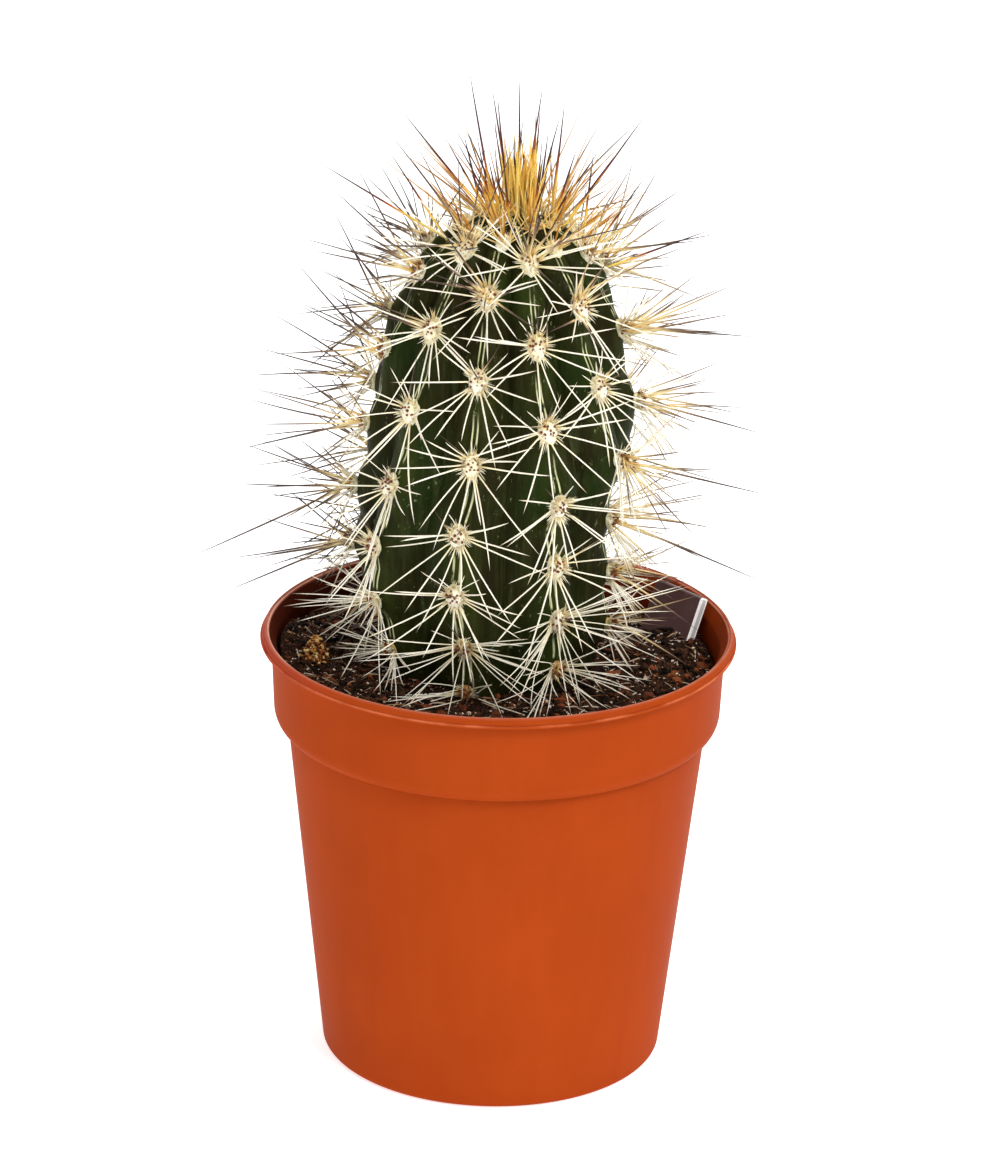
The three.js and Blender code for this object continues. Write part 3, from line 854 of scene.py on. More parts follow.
def build_pot():
    points, faces = lathe(pot_profile(), POT_SEGMENTS)
    pot = make_object("nursery_pot", points, faces, paint_pot())
    drills = drill_cutter()
    cut = pot.modifiers.new("drainage", "BOOLEAN")
    cut.object = drills
    cut.operation = "DIFFERENCE"
    cut.solver = "EXACT"
    apply_modifiers(pot)
    bpy.data.objects.remove(drills)
    places = np.array([v.co for v in pot.data.vertices]) / MM
    radius = np.hypot(places[:, 0], places[:, 1])
    height = places[:, 2]
    wall = np.interp(
        height,
        (0, SHOULDER_FOOT, SHOULDER_TOP, LIP_FOOT),
        (FOOT_RADIUS, BODY_TOP_RADIUS, BAND_FOOT_RADIUS, BAND_TOP_RADIUS),
    )
    reach = np.where(height > LIP_FOOT, INNER_EDGE_RADIUS - 0.05, wall - WALL * 0.6)
    inner = (radius < reach) * (height > 5)
    right = 0.5 + 0.5 * np.clip(places[:, 0] / BODY_TOP_RADIUS, -1, 1)
    near_soil = np.exp(-(np.maximum(0, height - SOIL_LEVEL + 1) / 4.5))
    # Painted shade on the inner wall, full on the left and at the back, almost none on the right.
    set_values(pot.data, "inside", inner * (1 - 0.95 * right**3))
    # Soil stains near the soil, partly painted shade: stronger on the left than on the right.
    set_values(pot.data, "soil_stain_and_shade", inner * near_soil * (1.0 - 0.6 * right**3))
    left = smoothstep(0.55, 1.0, -places[:, 0] / LIP_RADIUS) * (height > LIP_FOOT)
    # Painted shade tint on the left of the lip's top.
    set_values(pot.data, "left_lip_shade", left * (radius > INNER_EDGE_RADIUS - 0.05))
    # Painted highlight lines along the lip's ledge and along the shoulder's foot.
    highlight_lines = np.zeros(len(places))
    for edge_radius, edge_height, highlight_strength in (
        (LIP_RADIUS - 0.2, LEDGE_HEIGHT - 0.03, 0.6),
        (BODY_TOP_RADIUS + SHOULDER_LEDGE + 0.3, SHOULDER_FOOT + 0.15, 0.1),
    ):
        off_edge = np.hypot(radius - edge_radius, height - edge_height)
        highlight_lines = np.maximum(highlight_lines, highlight_strength * np.exp(-((off_edge / 0.25) ** 2)))
    set_values(pot.data, "edge", highlight_lines)
    # Painted highlight lines along the lip's inner edge and along its crest.
    off_rim = np.hypot(radius - INNER_EDGE_RADIUS - 0.2, height - INNER_EDGE_HEIGHT)
    off_crest = np.hypot(radius - LIP_RADIUS + 1.2, height - POT_HEIGHT + 0.05)
    rim = (0.3 + 0.7 * left) * np.exp(-((off_rim / 0.28) ** 2))
    set_values(pot.data, "rim", np.maximum(rim, 0.25 * np.exp(-((off_crest / 0.3) ** 2))))
    # Painted shade in the crease under the shoulder's ledge and under the lip.
    crease_shade = np.zeros(len(places))
    for crease_radius, crease_height, depth in (
        (BODY_TOP_RADIUS - 0.05, SHOULDER_FOOT, 1.0),
        (BAND_TOP_RADIUS + 0.15, LIP_FOOT - 0.05, 0.4),
    ):
        off_crease = np.hypot(radius - crease_radius, height - crease_height)
        crease_shade = np.maximum(crease_shade, depth * np.exp(-((off_crease / 0.36) ** 2)))
    set_values(pot.data, "crease_shade", crease_shade)
    pot.data.polygons.foreach_set("use_smooth", [True] * len(pot.data.polygons))
    pot.data.set_sharp_from_angle(angle=math.radians(38))
    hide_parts("pot")


# ==== The stem ====


def up_dome(z):
    return np.maximum(0, (z - DOME_BASE) / (APEX - DOME_BASE))


def stem_radius(z):
    dome = np.maximum(0, 1 - up_dome(z) ** DOME_POWER) ** (1 / DOME_POWER)
    waist = (STEM_RADIUS - WAIST_RADIUS) * (1 - smoothstep(WAIST_LOW, WAIST_HIGH, z))
    down = np.maximum(0, (TAPER_FROM - z) / (TAPER_FROM - TAPER_AT))
    return STEM_RADIUS * dome - waist - TAPER_LOSS * down**TAPER_POWER


def stem_centre(z):
    dent = DENT_DEPTH * np.exp(-(((z - DENT_AT) / DENT_REACH) ** DENT_POWER))
    return LEAN_BASE + LEAN_SLOPE * (z - LEAN_FROM) - dent


def rib_azimuth(rib, z):
    """Radians from the front towards +X of a place that is rib ribs from the first one."""
    top = math.radians(FIRST_RIB) + rib * 2 * math.pi / RIBS
    fan = math.radians(FAN_TURN) + math.radians(FAN_SPREAD) * np.sin(top)
    return top + fan * (1 - (1 + FAN_CLOSING) * smoothstep(FAN_LOW, FAN_HIGH, z))


def groove_of(rib):
    """0 along a rib's crest and 1 at the bottom of a groove."""
    return 1 - np.abs(np.cos(np.pi * rib)) ** GROOVE_SHARPNESS


def spacing(z):
    return SPACING_LEAST + SPACING_EXTRA * math.exp(-(((z - SPACING_WIDEST_AT) / SPACING_SPREAD) ** 2))


def areole_heights(rib):
    """The heights of a rib's areoles from the crown down to the soil."""
    heights = []
    z = ROW_START - ROW_PHASES[rib] * spacing(ROW_START - 7)
    while z > LOWEST_AREOLE:
        heights.append(z)
        z -= spacing(z - 7)
    return [h for h in heights if h < CROWN_EDGE]


def skin_height(rib, z):
    """How far the skin stands out from its plain ribbed shape, at numbers or arrays."""
    rib, z = np.broadcast_arrays(np.asarray(rib, float), np.asarray(z, float))
    extra = np.zeros(z.shape)
    nearest = np.round(rib).astype(int)
    crest = np.exp(-(((rib - nearest) / 0.24) ** 2))
    for number in range(RIBS):
        mine = (nearest % RIBS) == number
        for height in areole_heights(number):
            rise = TUBERCLE_HEIGHT * np.exp(-(((z - height) / TUBERCLE_REACH) ** 2))
            notch = NOTCH_DEPTH * np.exp(-(((z - height - NOTCH_ABOVE) / NOTCH_REACH) ** 2))
            extra += mine * crest * (rise - notch)
    return extra * np.minimum(1, stem_radius(z) / STEM_RADIUS)


def height_above_areole(rib, z):
    """How far each point is above the areole below it on its rib, at most 20."""
    above = np.full(z.shape, 20.0)
    nearest = np.round(rib).astype(int) % RIBS
    for number in range(RIBS):
        for height in areole_heights(number):
            over = np.where((nearest == number) & (z >= height), z - height, 20.0)
            above = np.minimum(above, over)
    return above


def skin_point(rib, z, grow=0.0):
    """Points of the skin in millimetres, for numbers or arrays."""
    plain = stem_radius(z) * (1 - GROOVE_DEPTH * groove_of(rib))
    r = np.maximum(0, plain + skin_height(rib, z) + grow)
    azimuth = rib_azimuth(rib, z)
    x = stem_centre(z) + r * np.sin(azimuth)
    y = -r * np.cos(azimuth)
    return np.stack(np.broadcast_arrays(x, y, z), axis=-1)


def stem_heights():
    """The heights of the skin's rings: few underground, then even along the skin."""
    buried = np.linspace(STEM_FOOT, SOIL_LEVEL - 5, 12)[:-1]
    column = np.linspace(SOIL_LEVEL - 5, DOME_BASE, int(SKIN_RINGS * 0.42), endpoint=False)
    turn = np.linspace(0, math.pi / 2, int(SKIN_RINGS * 0.58))
    dome = DOME_BASE + (APEX - DOME_BASE) * np.sin(turn) ** 0.95
    return np.concatenate([buried, column, dome[:-1]])


def build_stem():
    heights = stem_heights()
    ribs = np.arange(RIBS * SKIN_STEPS_PER_RIB) / SKIN_STEPS_PER_RIB
    z, rib = np.meshgrid(heights, ribs, indexing="ij")
    points = skin_point(rib, z)
    flat = points.reshape(-1, 3)
    centre = np.stack([stem_centre(z), np.zeros_like(z), z], axis=-1).reshape(-1, 3)
    outward = unit((flat - centre) * (1, 1, 0) + (1e-9, 0, 0))
    flat = flat + outward * (SKIN_WAVES * waves(flat, 0.09))[:, None]
    tip = (float(stem_centre(APEX)), 0, APEX)
    foot = (float(stem_centre(STEM_FOOT)), 0, STEM_FOOT)
    vertices = np.vstack([flat, tip, foot])
    segments = len(ribs)
    faces = grid_faces(len(heights), segments)
    last = (len(heights) - 1) * segments
    for j in range(segments):
        k = (j + 1) % segments
        faces.append((last + j, last + k, len(flat)))
        faces.append((k, j, len(flat) + 1))
    stem = make_object("cactus_skin", vertices, faces, paint_stem())
    around = 2 * math.pi * stem_radius(z) / RIBS
    across = (np.abs(rib - np.round(rib)) * around).ravel()
    set_values(stem.data, "across", np.append(across, [0, 0]))
    set_values(stem.data, "above", np.append(height_above_areole(rib, z).ravel(), [20, 20]))
    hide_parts("cactus_stem")


# ==== Needles: spines and fibres ====


class Needles:
    """Tapered, bent needles, gathered and then made into one mesh."""

    def __init__(self, sides=5, steps=7, bulb=0.35, blunt=1.4):
        self.sides = sides
        self.steps = steps
        self.bulb = bulb
        self.blunt = blunt
        self.rows = []

    def add(self, root, direction, length, radius, bend=(0, 0, 0), strip=0, shown=1.0):
        """strip picks a strip of the map, from 0 to BANDS - 1. shown is how much of the
        material's ramp the needle runs through."""
        self.rows.append((*root, *direction, length, radius, *bend, strip, shown))

    def profile(self):
        """The places along a needle, and its thickness there."""
        t = np.linspace(0, 1, self.steps + 1) ** 1.15
        thick = (1 - t**self.blunt) * (1 + self.bulb * np.exp(-t / 0.035))
        return t, thick

    def template(self):
        """One needle's faces, with the place in the map of each of their corners."""
        faces, corners = [], []
        t, _ = self.profile()
        low = self.steps * self.sides
        tip = low + 1
        for j in range(self.sides):
            k = (j + 1) % self.sides
            v, w = j / self.sides, (j + 1) / self.sides
            faces.append((low, k, j))
            corners += [(0, (v + w) / 2), (t[1] * 0.2, w), (t[1] * 0.2, v)]
            for i in range(self.steps - 1):
                a = i * self.sides
                b = a + self.sides
                faces.append((a + j, a + k, b + k, b + j))
                corners += [(t[i], v), (t[i], w), (t[i + 1], w), (t[i + 1], v)]
            top = (self.steps - 1) * self.sides
            faces.append((top + j, top + k, tip))
            corners += [(t[-2], v), (t[-2], w), (1, (v + w) / 2)]
        return faces, np.array(corners)

    def build(self, name, material):
        rows = np.array(self.rows)
        root, direction = rows[:, 0:3], unit(rows[:, 3:6])
        length, radius = rows[:, 6:7], rows[:, 7:8]
        bend, strip = rows[:, 8:11], rows[:, 11]
        aside = np.where(np.abs(direction[:, 2:3]) < 0.9, [[0, 0, 1]], [[1, 0, 0]])
        first = unit(np.cross(direction, aside))
        second = np.cross(direction, first)
        t, thick = self.profile()
        turn = np.arange(self.sides) * 2 * math.pi / self.sides
        middle = (
            root[:, None, :]
            + direction[:, None, :] * (length * t)[:, :, None]
            + bend[:, None, :] * (length * t**2)[:, :, None]
        )
        ring = (
            first[:, None, :] * np.cos(turn)[None, :, None]
            + second[:, None, :] * np.sin(turn)[None, :, None]
        )
        wide = (radius * thick)[:, : self.steps]
        around = middle[:, : self.steps, None, :] + ring[:, None, :, :] * wide[:, :, None, None]
        body = around.reshape(len(rows), -1, 3)
        points = np.concatenate([body, root[:, None, :], middle[:, -1:, :]], axis=1)
        per_needle = points.shape[1]
        template, corners = self.template()
        faces = [
            tuple(v + n * per_needle for v in face) for n in range(len(rows)) for face in template
        ]
        made = make_object(name, points.reshape(-1, 3), faces, material)
        u = (rows[:, 12:13] * corners[None, :, 0]).ravel()
        v = (strip[:, None] + 0.04 + 0.92 * corners[None, :, 1]).ravel() / BANDS
        layer = made.data.uv_layers.new(name="OFBake")
        layer.data.foreach_set("uv", np.stack([u, v], axis=1).astype(np.float32).ravel())
        return made


def soil_height(x, y):
    """The soil's surface without its crumbs."""
    r = math.hypot(x, y)
    mound = SOIL_MOUND * (1 - float(smoothstep(20, 46, r)))
    for heap_x, heap_y, height, reach in SOIL_HEAPS:
        mound += height * math.exp(-((x - heap_x) ** 2 + (y - heap_y) ** 2) / reach**2)
    rough = 0.9 * noise.fractal(Vector((x, y, 3.0)) * 0.11, 1.0, 2.0, 4)
    fine = 0.45 * noise.fractal(Vector((x, y, 9.0)) * 0.55, 0.9, 2.0, 3)
    return SOIL_LEVEL + SOIL_TILT * x + mound + rough + fine


def clear_share(root, direction, length):
    """How much of a spine is clear of the soil and of the pot's wall, from 0 to 1."""
    step = 0.05
    for share in np.arange(step, 1 + step, step):
        x, y, z = root + direction * length * share
        r = math.hypot(x, y)
        if z > POT_HEIGHT + 0.4:
            continue
        inside = r < SOIL_EDGE_RADIUS
        blocked = z < soil_height(x, y) + 0.1 if inside else r < LIP_RADIUS + 0.4
        if blocked:
            return share - step
    return 1.0


def settled(root, direction, length, out, least=0.5):
    """A spine's direction and length once it ends on the soil or on the wall where it meets
    them, or is turned outwards where it would meet them too soon."""
    direction = np.array(direction)
    level = unit(np.array([out[0], out[1], 0.0]))
    for _ in range(24):
        share = clear_share(root, direction, length)
        if share > least:
            return direction, length * share
        direction = unit(direction + level * 0.06 + np.array([0, 0, 0.1]))
    return direction, length * max(share, 0.1)


# ==== The areoles ====


def areole_frame(rib, z):
    """Where an areole sits, with its sideways, upward and outward directions."""
    step = 1.2
    below, above = skin_point(rib, z - step), skin_point(rib, z + step)
    azimuth = rib_azimuth(rib, z)
    radial = np.array([math.sin(azimuth), -math.cos(azimuth), 0])
    up = unit(above - below)
    side = unit(np.cross(up, radial))
    out = np.cross(side, up)
    return skin_point(rib, z), side, up, out


def add_radials(needles, rng, frame_of, size, height):
    at, side, up, out = frame_of
    low = height < 112
    aside = out[1] > -0.5
    missing = 0.14 + (0.14 if out[0] < 0 else 0.04) * aside
    # Painted shade: spines on the flanks and at the back run further into the ramp's dark tips than those at the
    # front, and those on the left, away from the key light, run furthest.
    shown = 0.5 + aside * (0.66 if out[0] < 0 else 0.26)
    if low:
        missing = 0.26 + 0.3 * (height < 96) + 0.16 * aside
    for angle, shortest, longest in RADIALS + LEVEL_RADIALS * (2 if low else 0):
        if rng.random() < missing:
            continue
        around = math.radians(angle + rng.normal(0, RADIAL_SWAY))
        pointing_up = max(0, math.cos(around))
        rise = math.radians(rng.uniform(*RADIAL_RISE) + UPPER_RISE * max(pointing_up, aside))
        flat = up * math.cos(around) + side * math.sin(around)
        direction = flat * math.cos(rise) + out * math.sin(rise)
        length = rng.uniform(shortest, longest) * size * (1.45 if low else 1.0)
        root = (
            at
            + out * WOOL_HALF_DEPTH * 0.35
            + side * WOOL_HALF_WIDTH * 0.7 * math.sin(around)
            + up * WOOL_HALF_HEIGHT * 0.7 * math.cos(around)
        )
        if low:
            direction, length = settled(root, direction, length, out)
        bend = -out * rng.uniform(0.0, 0.14) + side * rng.normal(0, 0.06) + up * rng.normal(0, 0.04)
        if low:
            bend = side * rng.normal(0, 0.1) + out * rng.normal(0, 0.05) + up * rng.normal(0, 0.06)
        thin = 0.74 if pointing_up > 0.6 or low else 1.0
        radius = RADIAL_RADIUS * thin * rng.uniform(0.85, 1.1)
        needles.add(root, direction, length, radius, bend, rng.integers(0, 8), shown)


def turned(out, side, up, pitch, sway):
    """The outward direction turned up by pitch and sideways by sway, in degrees."""
    tilt, turn = math.radians(pitch), math.radians(sway)
    direction = out * math.cos(tilt) + up * math.sin(tilt)
    return unit(direction * math.cos(turn) + side * math.sin(turn))


def add_centrals(needles, rng, frame_of, rib, row, z):
    at, side, up, out = frame_of
    azimuth = float(rib_azimuth(rib, z))
    facing = max(0, math.cos(azimuth)) * float(1 - smoothstep(165, 190, z))
    level = unit(np.array([out[0], out[1], 0.0]))
    count = rng.integers(8, 13) if z > 112 else rng.integers(1, 4)
    if facing > 0.6:
        count = 3
    spread = 7 + 21 * (1 - facing)
    for number in range(count):
        pitch = CAMERA_ELEVATION * facing + rng.normal(0, spread * 0.9)
        sway = rng.normal(0, spread) - math.degrees(azimuth) * 0.6 * facing
        upright = number == 0 and facing > 0.6
        if upright:
            pitch = rng.uniform(50, 80)
            sway = rng.normal(0, 25)
        direction = turned(out, side, up, pitch, sway)
        length = rng.uniform(*CENTRAL_LENGTH) * (0.6 if facing > 0.6 else 1.0)
        root = at + out * WOOL_HALF_DEPTH * 0.6 + side * rng.normal(0, 0.9)
        root = root + up * (0.5 + rng.normal(0, 1.1))
        direction, length = settled(root, direction, length, out, 0.7)
        bend = side * rng.normal(0, 0.04) + up * rng.normal(0, 0.04)
        radius = CENTRAL_RADIUS * (0.75 if upright else rng.uniform(0.85, 1.15))
        # Painted light: central spines on the right, where the key light falls, stay paler, and those on the
        # left run further into the dark tips.
        shown = 1.0 - 0.45 * max(0.0, math.sin(azimuth))
        needles.add(root, direction, length, radius, bend, rng.integers(8, BANDS), shown)
    for long_rib, long_row, length, pitch, sway in LONG_SPINES:
        if (long_rib, long_row) == (rib, row):
            direction = turned(level, side, np.array([0, 0, 1.0]), pitch, sway)
            root = at + out * WOOL_HALF_DEPTH * 0.7
            bend = up * rng.normal(0, 0.02)
            needles.add(root, direction, length, CENTRAL_RADIUS * 1.2, bend, rng.integers(8, BANDS))
    count = rng.integers(*STUBS)
    for number in range(count):
        angle = 2.4 * number + rng.normal(0, 0.3)
        reach = 0.88 * math.sqrt((number + 0.3) / count)
        root = (
            at
            + side * WOOL_HALF_WIDTH * reach * math.cos(angle)
            + up * (WOOL_HALF_HEIGHT * 0.75 * reach * math.sin(angle) + 0.25)
            + out * (WOOL_HALF_DEPTH * math.sqrt(max(0.0, 1 - reach**2)) * 0.92 + WOOL_STAND)
        )
        direction = unit(out + rng.normal(0, 0.15, 3))
        length = rng.uniform(*STUB_LENGTH)
        needles.add(root, direction, length, rng.uniform(*STUB_RADIUS), strip=8, shown=0.004)


class Cushions:
    """The felted domes of areoles, gathered into one mesh with a tone at each vertex."""

    def __init__(self):
        self.points = []
        self.tones = []

    def add(self, rng, frame_of, size=1.0, old=0.0):
        at, side, up, out = frame_of
        polar = np.linspace(0, math.pi, CUSHION_RINGS + 2)[1:-1]
        turn = np.arange(CUSHION_SEGMENTS) * 2 * math.pi / CUSHION_SEGMENTS
        a, b = np.meshgrid(polar, turn, indexing="ij")
        ball = np.stack([np.sin(a) * np.cos(b), np.sin(a) * np.sin(b), np.cos(a)], axis=-1)
        ball = np.vstack([ball.reshape(-1, 3), [[0, 0, 1], [0, 0, -1]]])
        rough = 1 + 0.2 * waves(ball + rng.uniform(0, 50), 1.6, 3)
        beard = 1 + 0.22 * np.maximum(0, -ball[:, 1]) ** 3
        x = ball[:, 0] * rough * WOOL_HALF_WIDTH * size
        y = ball[:, 1] * rough * beard * WOOL_HALF_HEIGHT * size
        depth = (ball[:, 2] * rough * WOOL_HALF_DEPTH + WOOL_STAND) * size
        place = at + x[:, None] * side + y[:, None] * up + depth[:, None] * out
        self.points.append(place)
        # Golden towards the top, which is the wool's own colour; the extra tone towards the dome's rim and back
        # is painted shade.
        tone = 0.04 + 0.1 * ball[:, 1] + 0.06 * (1 - ball[:, 2]) + 0.62 * old
        self.tones.append(tone + rng.normal(0, 0.05))

    def build(self, name, material):
        per_ball = CUSHION_RINGS * CUSHION_SEGMENTS
        low, high = per_ball + 1, per_ball
        one = [tuple(reversed(face)) for face in grid_faces(CUSHION_RINGS, CUSHION_SEGMENTS)]
        last = per_ball - CUSHION_SEGMENTS
        for j in range(CUSHION_SEGMENTS):
            k = (j + 1) % CUSHION_SEGMENTS
            one.append((high, j, k))
            one.append((low, last + k, last + j))
        step = per_ball + 2
        faces = [tuple(v + n * step for v in face) for n in range(len(self.points)) for face in one]
        made = make_object(name, np.concatenate(self.points), faces, material)
        set_values(made.data, "tone", np.concatenate(self.tones))
        return made


def add_wool(fibres, rng, frame_of, size=1.0, old=0.0):
    """Short curly fibres over a cushion, whiter below and golden along its upper edge."""
    at, side, up, out = frame_of
    for _ in range(int(WOOL_FIBRES * size)):
        angle = rng.uniform(0, 2 * math.pi)
        reach = rng.random() ** 0.4
        across = side * math.cos(angle) + up * math.sin(angle)
        root = (
            at
            + side * WOOL_HALF_WIDTH * size * 0.96 * reach * math.cos(angle)
            + up * WOOL_HALF_HEIGHT * size * 0.96 * reach * math.sin(angle)
            + out * (WOOL_HALF_DEPTH * 0.9 * math.sqrt(max(0.0, 1 - reach**2)) + WOOL_STAND) * size
        )
        wild = rng.normal(0, 0.5, 3)
        direction = unit(out * 0.5 + across * (0.2 + 0.9 * reach) + wild)
        bend = rng.normal(0, 0.5, 3)
        length = rng.uniform(*WOOL_FIBRE_LENGTH)
        golden = 0.08 + 0.2 * math.sin(angle) * reach + 0.5 * old + rng.normal(0, 0.08)
        strip = int(np.clip(golden * BANDS, 0, BANDS - 1))
        radius = WOOL_FIBRE_RADIUS * rng.uniform(0.8, 1.3)
        fibres.add(root, direction, length, radius, bend, strip)


def add_bristles(fibres, rng, frame_of, size=1.0):
    """The stiff short hairs that stand out all around a cushion's edge."""
    at, side, up, out = frame_of
    for _ in range(int(BRISTLES * size)):
        angle = rng.uniform(0, 2 * math.pi)
        across = side * math.cos(angle) + up * math.sin(angle)
        root = (
            at
            + side * WOOL_HALF_WIDTH * size * 0.8 * math.cos(angle)
            + up * WOOL_HALF_HEIGHT * size * 0.8 * math.sin(angle)
            + out * (WOOL_HALF_DEPTH * rng.uniform(0.1, 0.7) + WOOL_STAND) * size
        )
        direction = unit(across + out * rng.uniform(0.1, 0.8) + rng.normal(0, 0.15, 3))
        golden = 0.14 + 0.3 * max(0, math.sin(angle)) + rng.normal(0, 0.08)
        strip = int(np.clip(golden * BANDS, 0, BANDS - 1))
        length = rng.uniform(*BRISTLE_LENGTH) * size
        fibres.add(root, direction, length, BRISTLE_RADIUS, rng.normal(0, 0.08, 3), strip)


def build_areoles():
    radial_horn = paint_radial_horn()
    central_horn = paint_central_horn()
    wool = paint_wool()
    felt = paint_cushion()
    for rib in range(RIBS):
        radials = Needles(bulb=0, blunt=8)
        centrals = Needles(bulb=0.15, blunt=2.5)
        cushions = Cushions()
        fibres = Needles(sides=3, steps=3, bulb=0, blunt=2.5)
        for row, z in enumerate(areole_heights(rib)):
            rng = dice(rib, row)
            frame_of = areole_frame(rib, z)
            aside = abs(math.sin(float(rib_azimuth(rib, z))))
            size = 0.72 + 0.28 * float(smoothstep(98, 120, z))
            size -= 0.24 * float(smoothstep(0.7, 0.9, aside))
            old = float(1 - smoothstep(95, 108, z)) + 0.12 * float(smoothstep(0.75, 1, aside))
            add_radials(radials, rng, frame_of, size, z)
            add_centrals(centrals, rng, frame_of, rib, row, z)
            cushions.add(rng, frame_of, size, old)
            add_wool(fibres, rng, frame_of, size, old)
            add_bristles(fibres, rng, frame_of, size)
        label = f"rib{rib + 1:02d}"
        nodes = [f"areole_{label}_row{row + 1}" for row in range(ROWS_PER_RIB)]
        piece = radials.build(f"radial_spines_{label}", radial_horn)
        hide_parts(*nodes)
        centrals.build(f"central_spines_{label}", central_horn)
        cushions.build(f"cushions_{label}", felt)
        fibres.build(f"wool_{label}", wool)


# ==== The crown ====


def crown_height(x, y):
    """The height of the dome at a place near the growing point."""
    centre = float(stem_centre(APEX))
    share = min(0.98, math.hypot(x - centre, y) / STEM_RADIUS)
    return DOME_BASE + (APEX - DOME_BASE) * (1 - share**DOME_POWER) ** (1 / DOME_POWER)


def crown_place(reach, angle):
    """A place on the dome around the growing point."""
    x = CROWN_MIDDLE[0] + reach * math.cos(angle)
    y = CROWN_MIDDLE[1] + reach * math.sin(angle)
    return np.array([x, y, crown_height(x, y)])


def leaning(lean, spin):
    """A direction that leans from straight up by lean degrees towards spin radians."""
    tilt = math.radians(lean)
    return (math.sin(tilt) * math.cos(spin), math.sin(tilt) * math.sin(spin), math.cos(tilt))


def build_crown():
    rng = dice(100)
    horn = paint_crown_horn()
    golden = Needles(sides=5, steps=7, bulb=0.1, blunt=2.9)
    for _ in range(TUFT_SPINES):
        angle = rng.uniform(0, 2 * math.pi)
        share = math.sqrt(rng.random())
        lean = TUFT_LEAN * share + rng.normal(0, 5)
        direction = leaning(lean, angle + rng.normal(0, 0.5))
        length = rng.uniform(*TUFT_LENGTH) * (1.1 - 0.3 * share)
        root = crown_place(TUFT_RADIUS * share, angle) - (0, 0, 0.5)
        shown = rng.uniform(0.14, 0.36)
        radius = rng.uniform(0.22, 0.32)
        golden.add(root, direction, length, radius, rng.normal(0, 0.09, 3), rng.integers(0, 8), shown)
    for _ in range(FLANK_SPINES):
        angle = rng.uniform(0, 2 * math.pi)
        share = math.sqrt(rng.random())
        low, high = FLANK_LEAN
        lean = low + (high - low) * share + rng.normal(0, 4)
        direction = leaning(lean, angle + rng.normal(0, 0.35))
        root = crown_place(FLANK_RADIUS * share, angle) - (0, 0, 0.3)
        length = rng.uniform(*FLANK_LENGTH)
        radius = rng.uniform(0.17, 0.25)
        golden.add(root, direction, length, radius, rng.normal(0, 0.04, 3), rng.integers(8, BANDS))
    for across, back, tip_across, tip_up in CROWN_LANDMARKS:
        x, y = CROWN_MIDDLE[0] + across, CROWN_MIDDLE[1] + back
        root = np.array([x, y, crown_height(x, y) - 0.3])
        direction = np.array([tip_across, 0.25 * back, tip_up])
        length = float(np.linalg.norm(direction))
        golden.add(root, direction, length, 0.27, rng.normal(0, 0.012, 3), rng.integers(8, BANDS))
    crown = golden.build("crown_spines_golden", horn)
    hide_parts("crown_spines")
    build_young_areoles()


def build_young_areoles():
    """The woolly areoles around the tuft, each with cream spines and a few dark long ones."""
    rng = dice(101)
    cushions = Cushions()
    fibres = Needles(sides=3, steps=3, bulb=0, blunt=2.5)
    radials = Needles(bulb=0, blunt=3)
    centrals = Needles(bulb=0.15)
    for reach, count, size, golden in YOUNG_RINGS:
        for number in range(count):
            angle = (number + rng.uniform(0.3, 0.7)) * 2 * math.pi / count
            at = crown_place(reach, angle)
            outward = np.array([math.cos(angle), math.sin(angle), 0])
            lean = math.radians(2.2 * reach)
            out = unit(outward * math.sin(lean) + (0, 0, math.cos(lean)))
            side = np.array([-math.sin(angle), math.cos(angle), 0])
            frame_of = (at, side, np.cross(out, side), out)
            cushions.add(rng, frame_of, size, golden)
            add_wool(fibres, rng, frame_of, size, golden)
            for _ in range(YOUNG_SPINES):
                spin = rng.uniform(0, 2 * math.pi)
                flat = side * math.cos(spin) + outward * math.sin(spin)
                rise = math.radians(rng.uniform(15, 65))
                direction = unit(flat * math.cos(rise) + out * math.sin(rise) + (0, 0, 0.15))
                length = rng.uniform(5, 12)
                bend = rng.normal(0, 0.05, 3)
                radials.add(at + flat, direction, length, 0.17, bend, rng.integers(0, 8), 0.03 * (1 - golden))
            for _ in range(3):
                lean = math.degrees(math.acos(out[2])) + rng.uniform(5, 32)
                direction = leaning(lean, angle + rng.normal(0, 0.4))
                length = rng.uniform(15, 28)
                centrals.add(at, direction, length, 0.22, rng.normal(0, 0.04, 3), rng.integers(8, BANDS))
    cushions.build("cushions_crown", bpy.data.materials["areole_felt"])
    fibres.build("wool_crown", bpy.data.materials["areole_wool"])
    radials.build("radial_spines_crown", bpy.data.materials["radial_horn"])
    centrals.build("central_spines_crown", bpy.data.materials["crown_horn"])


# ==== The soil ====


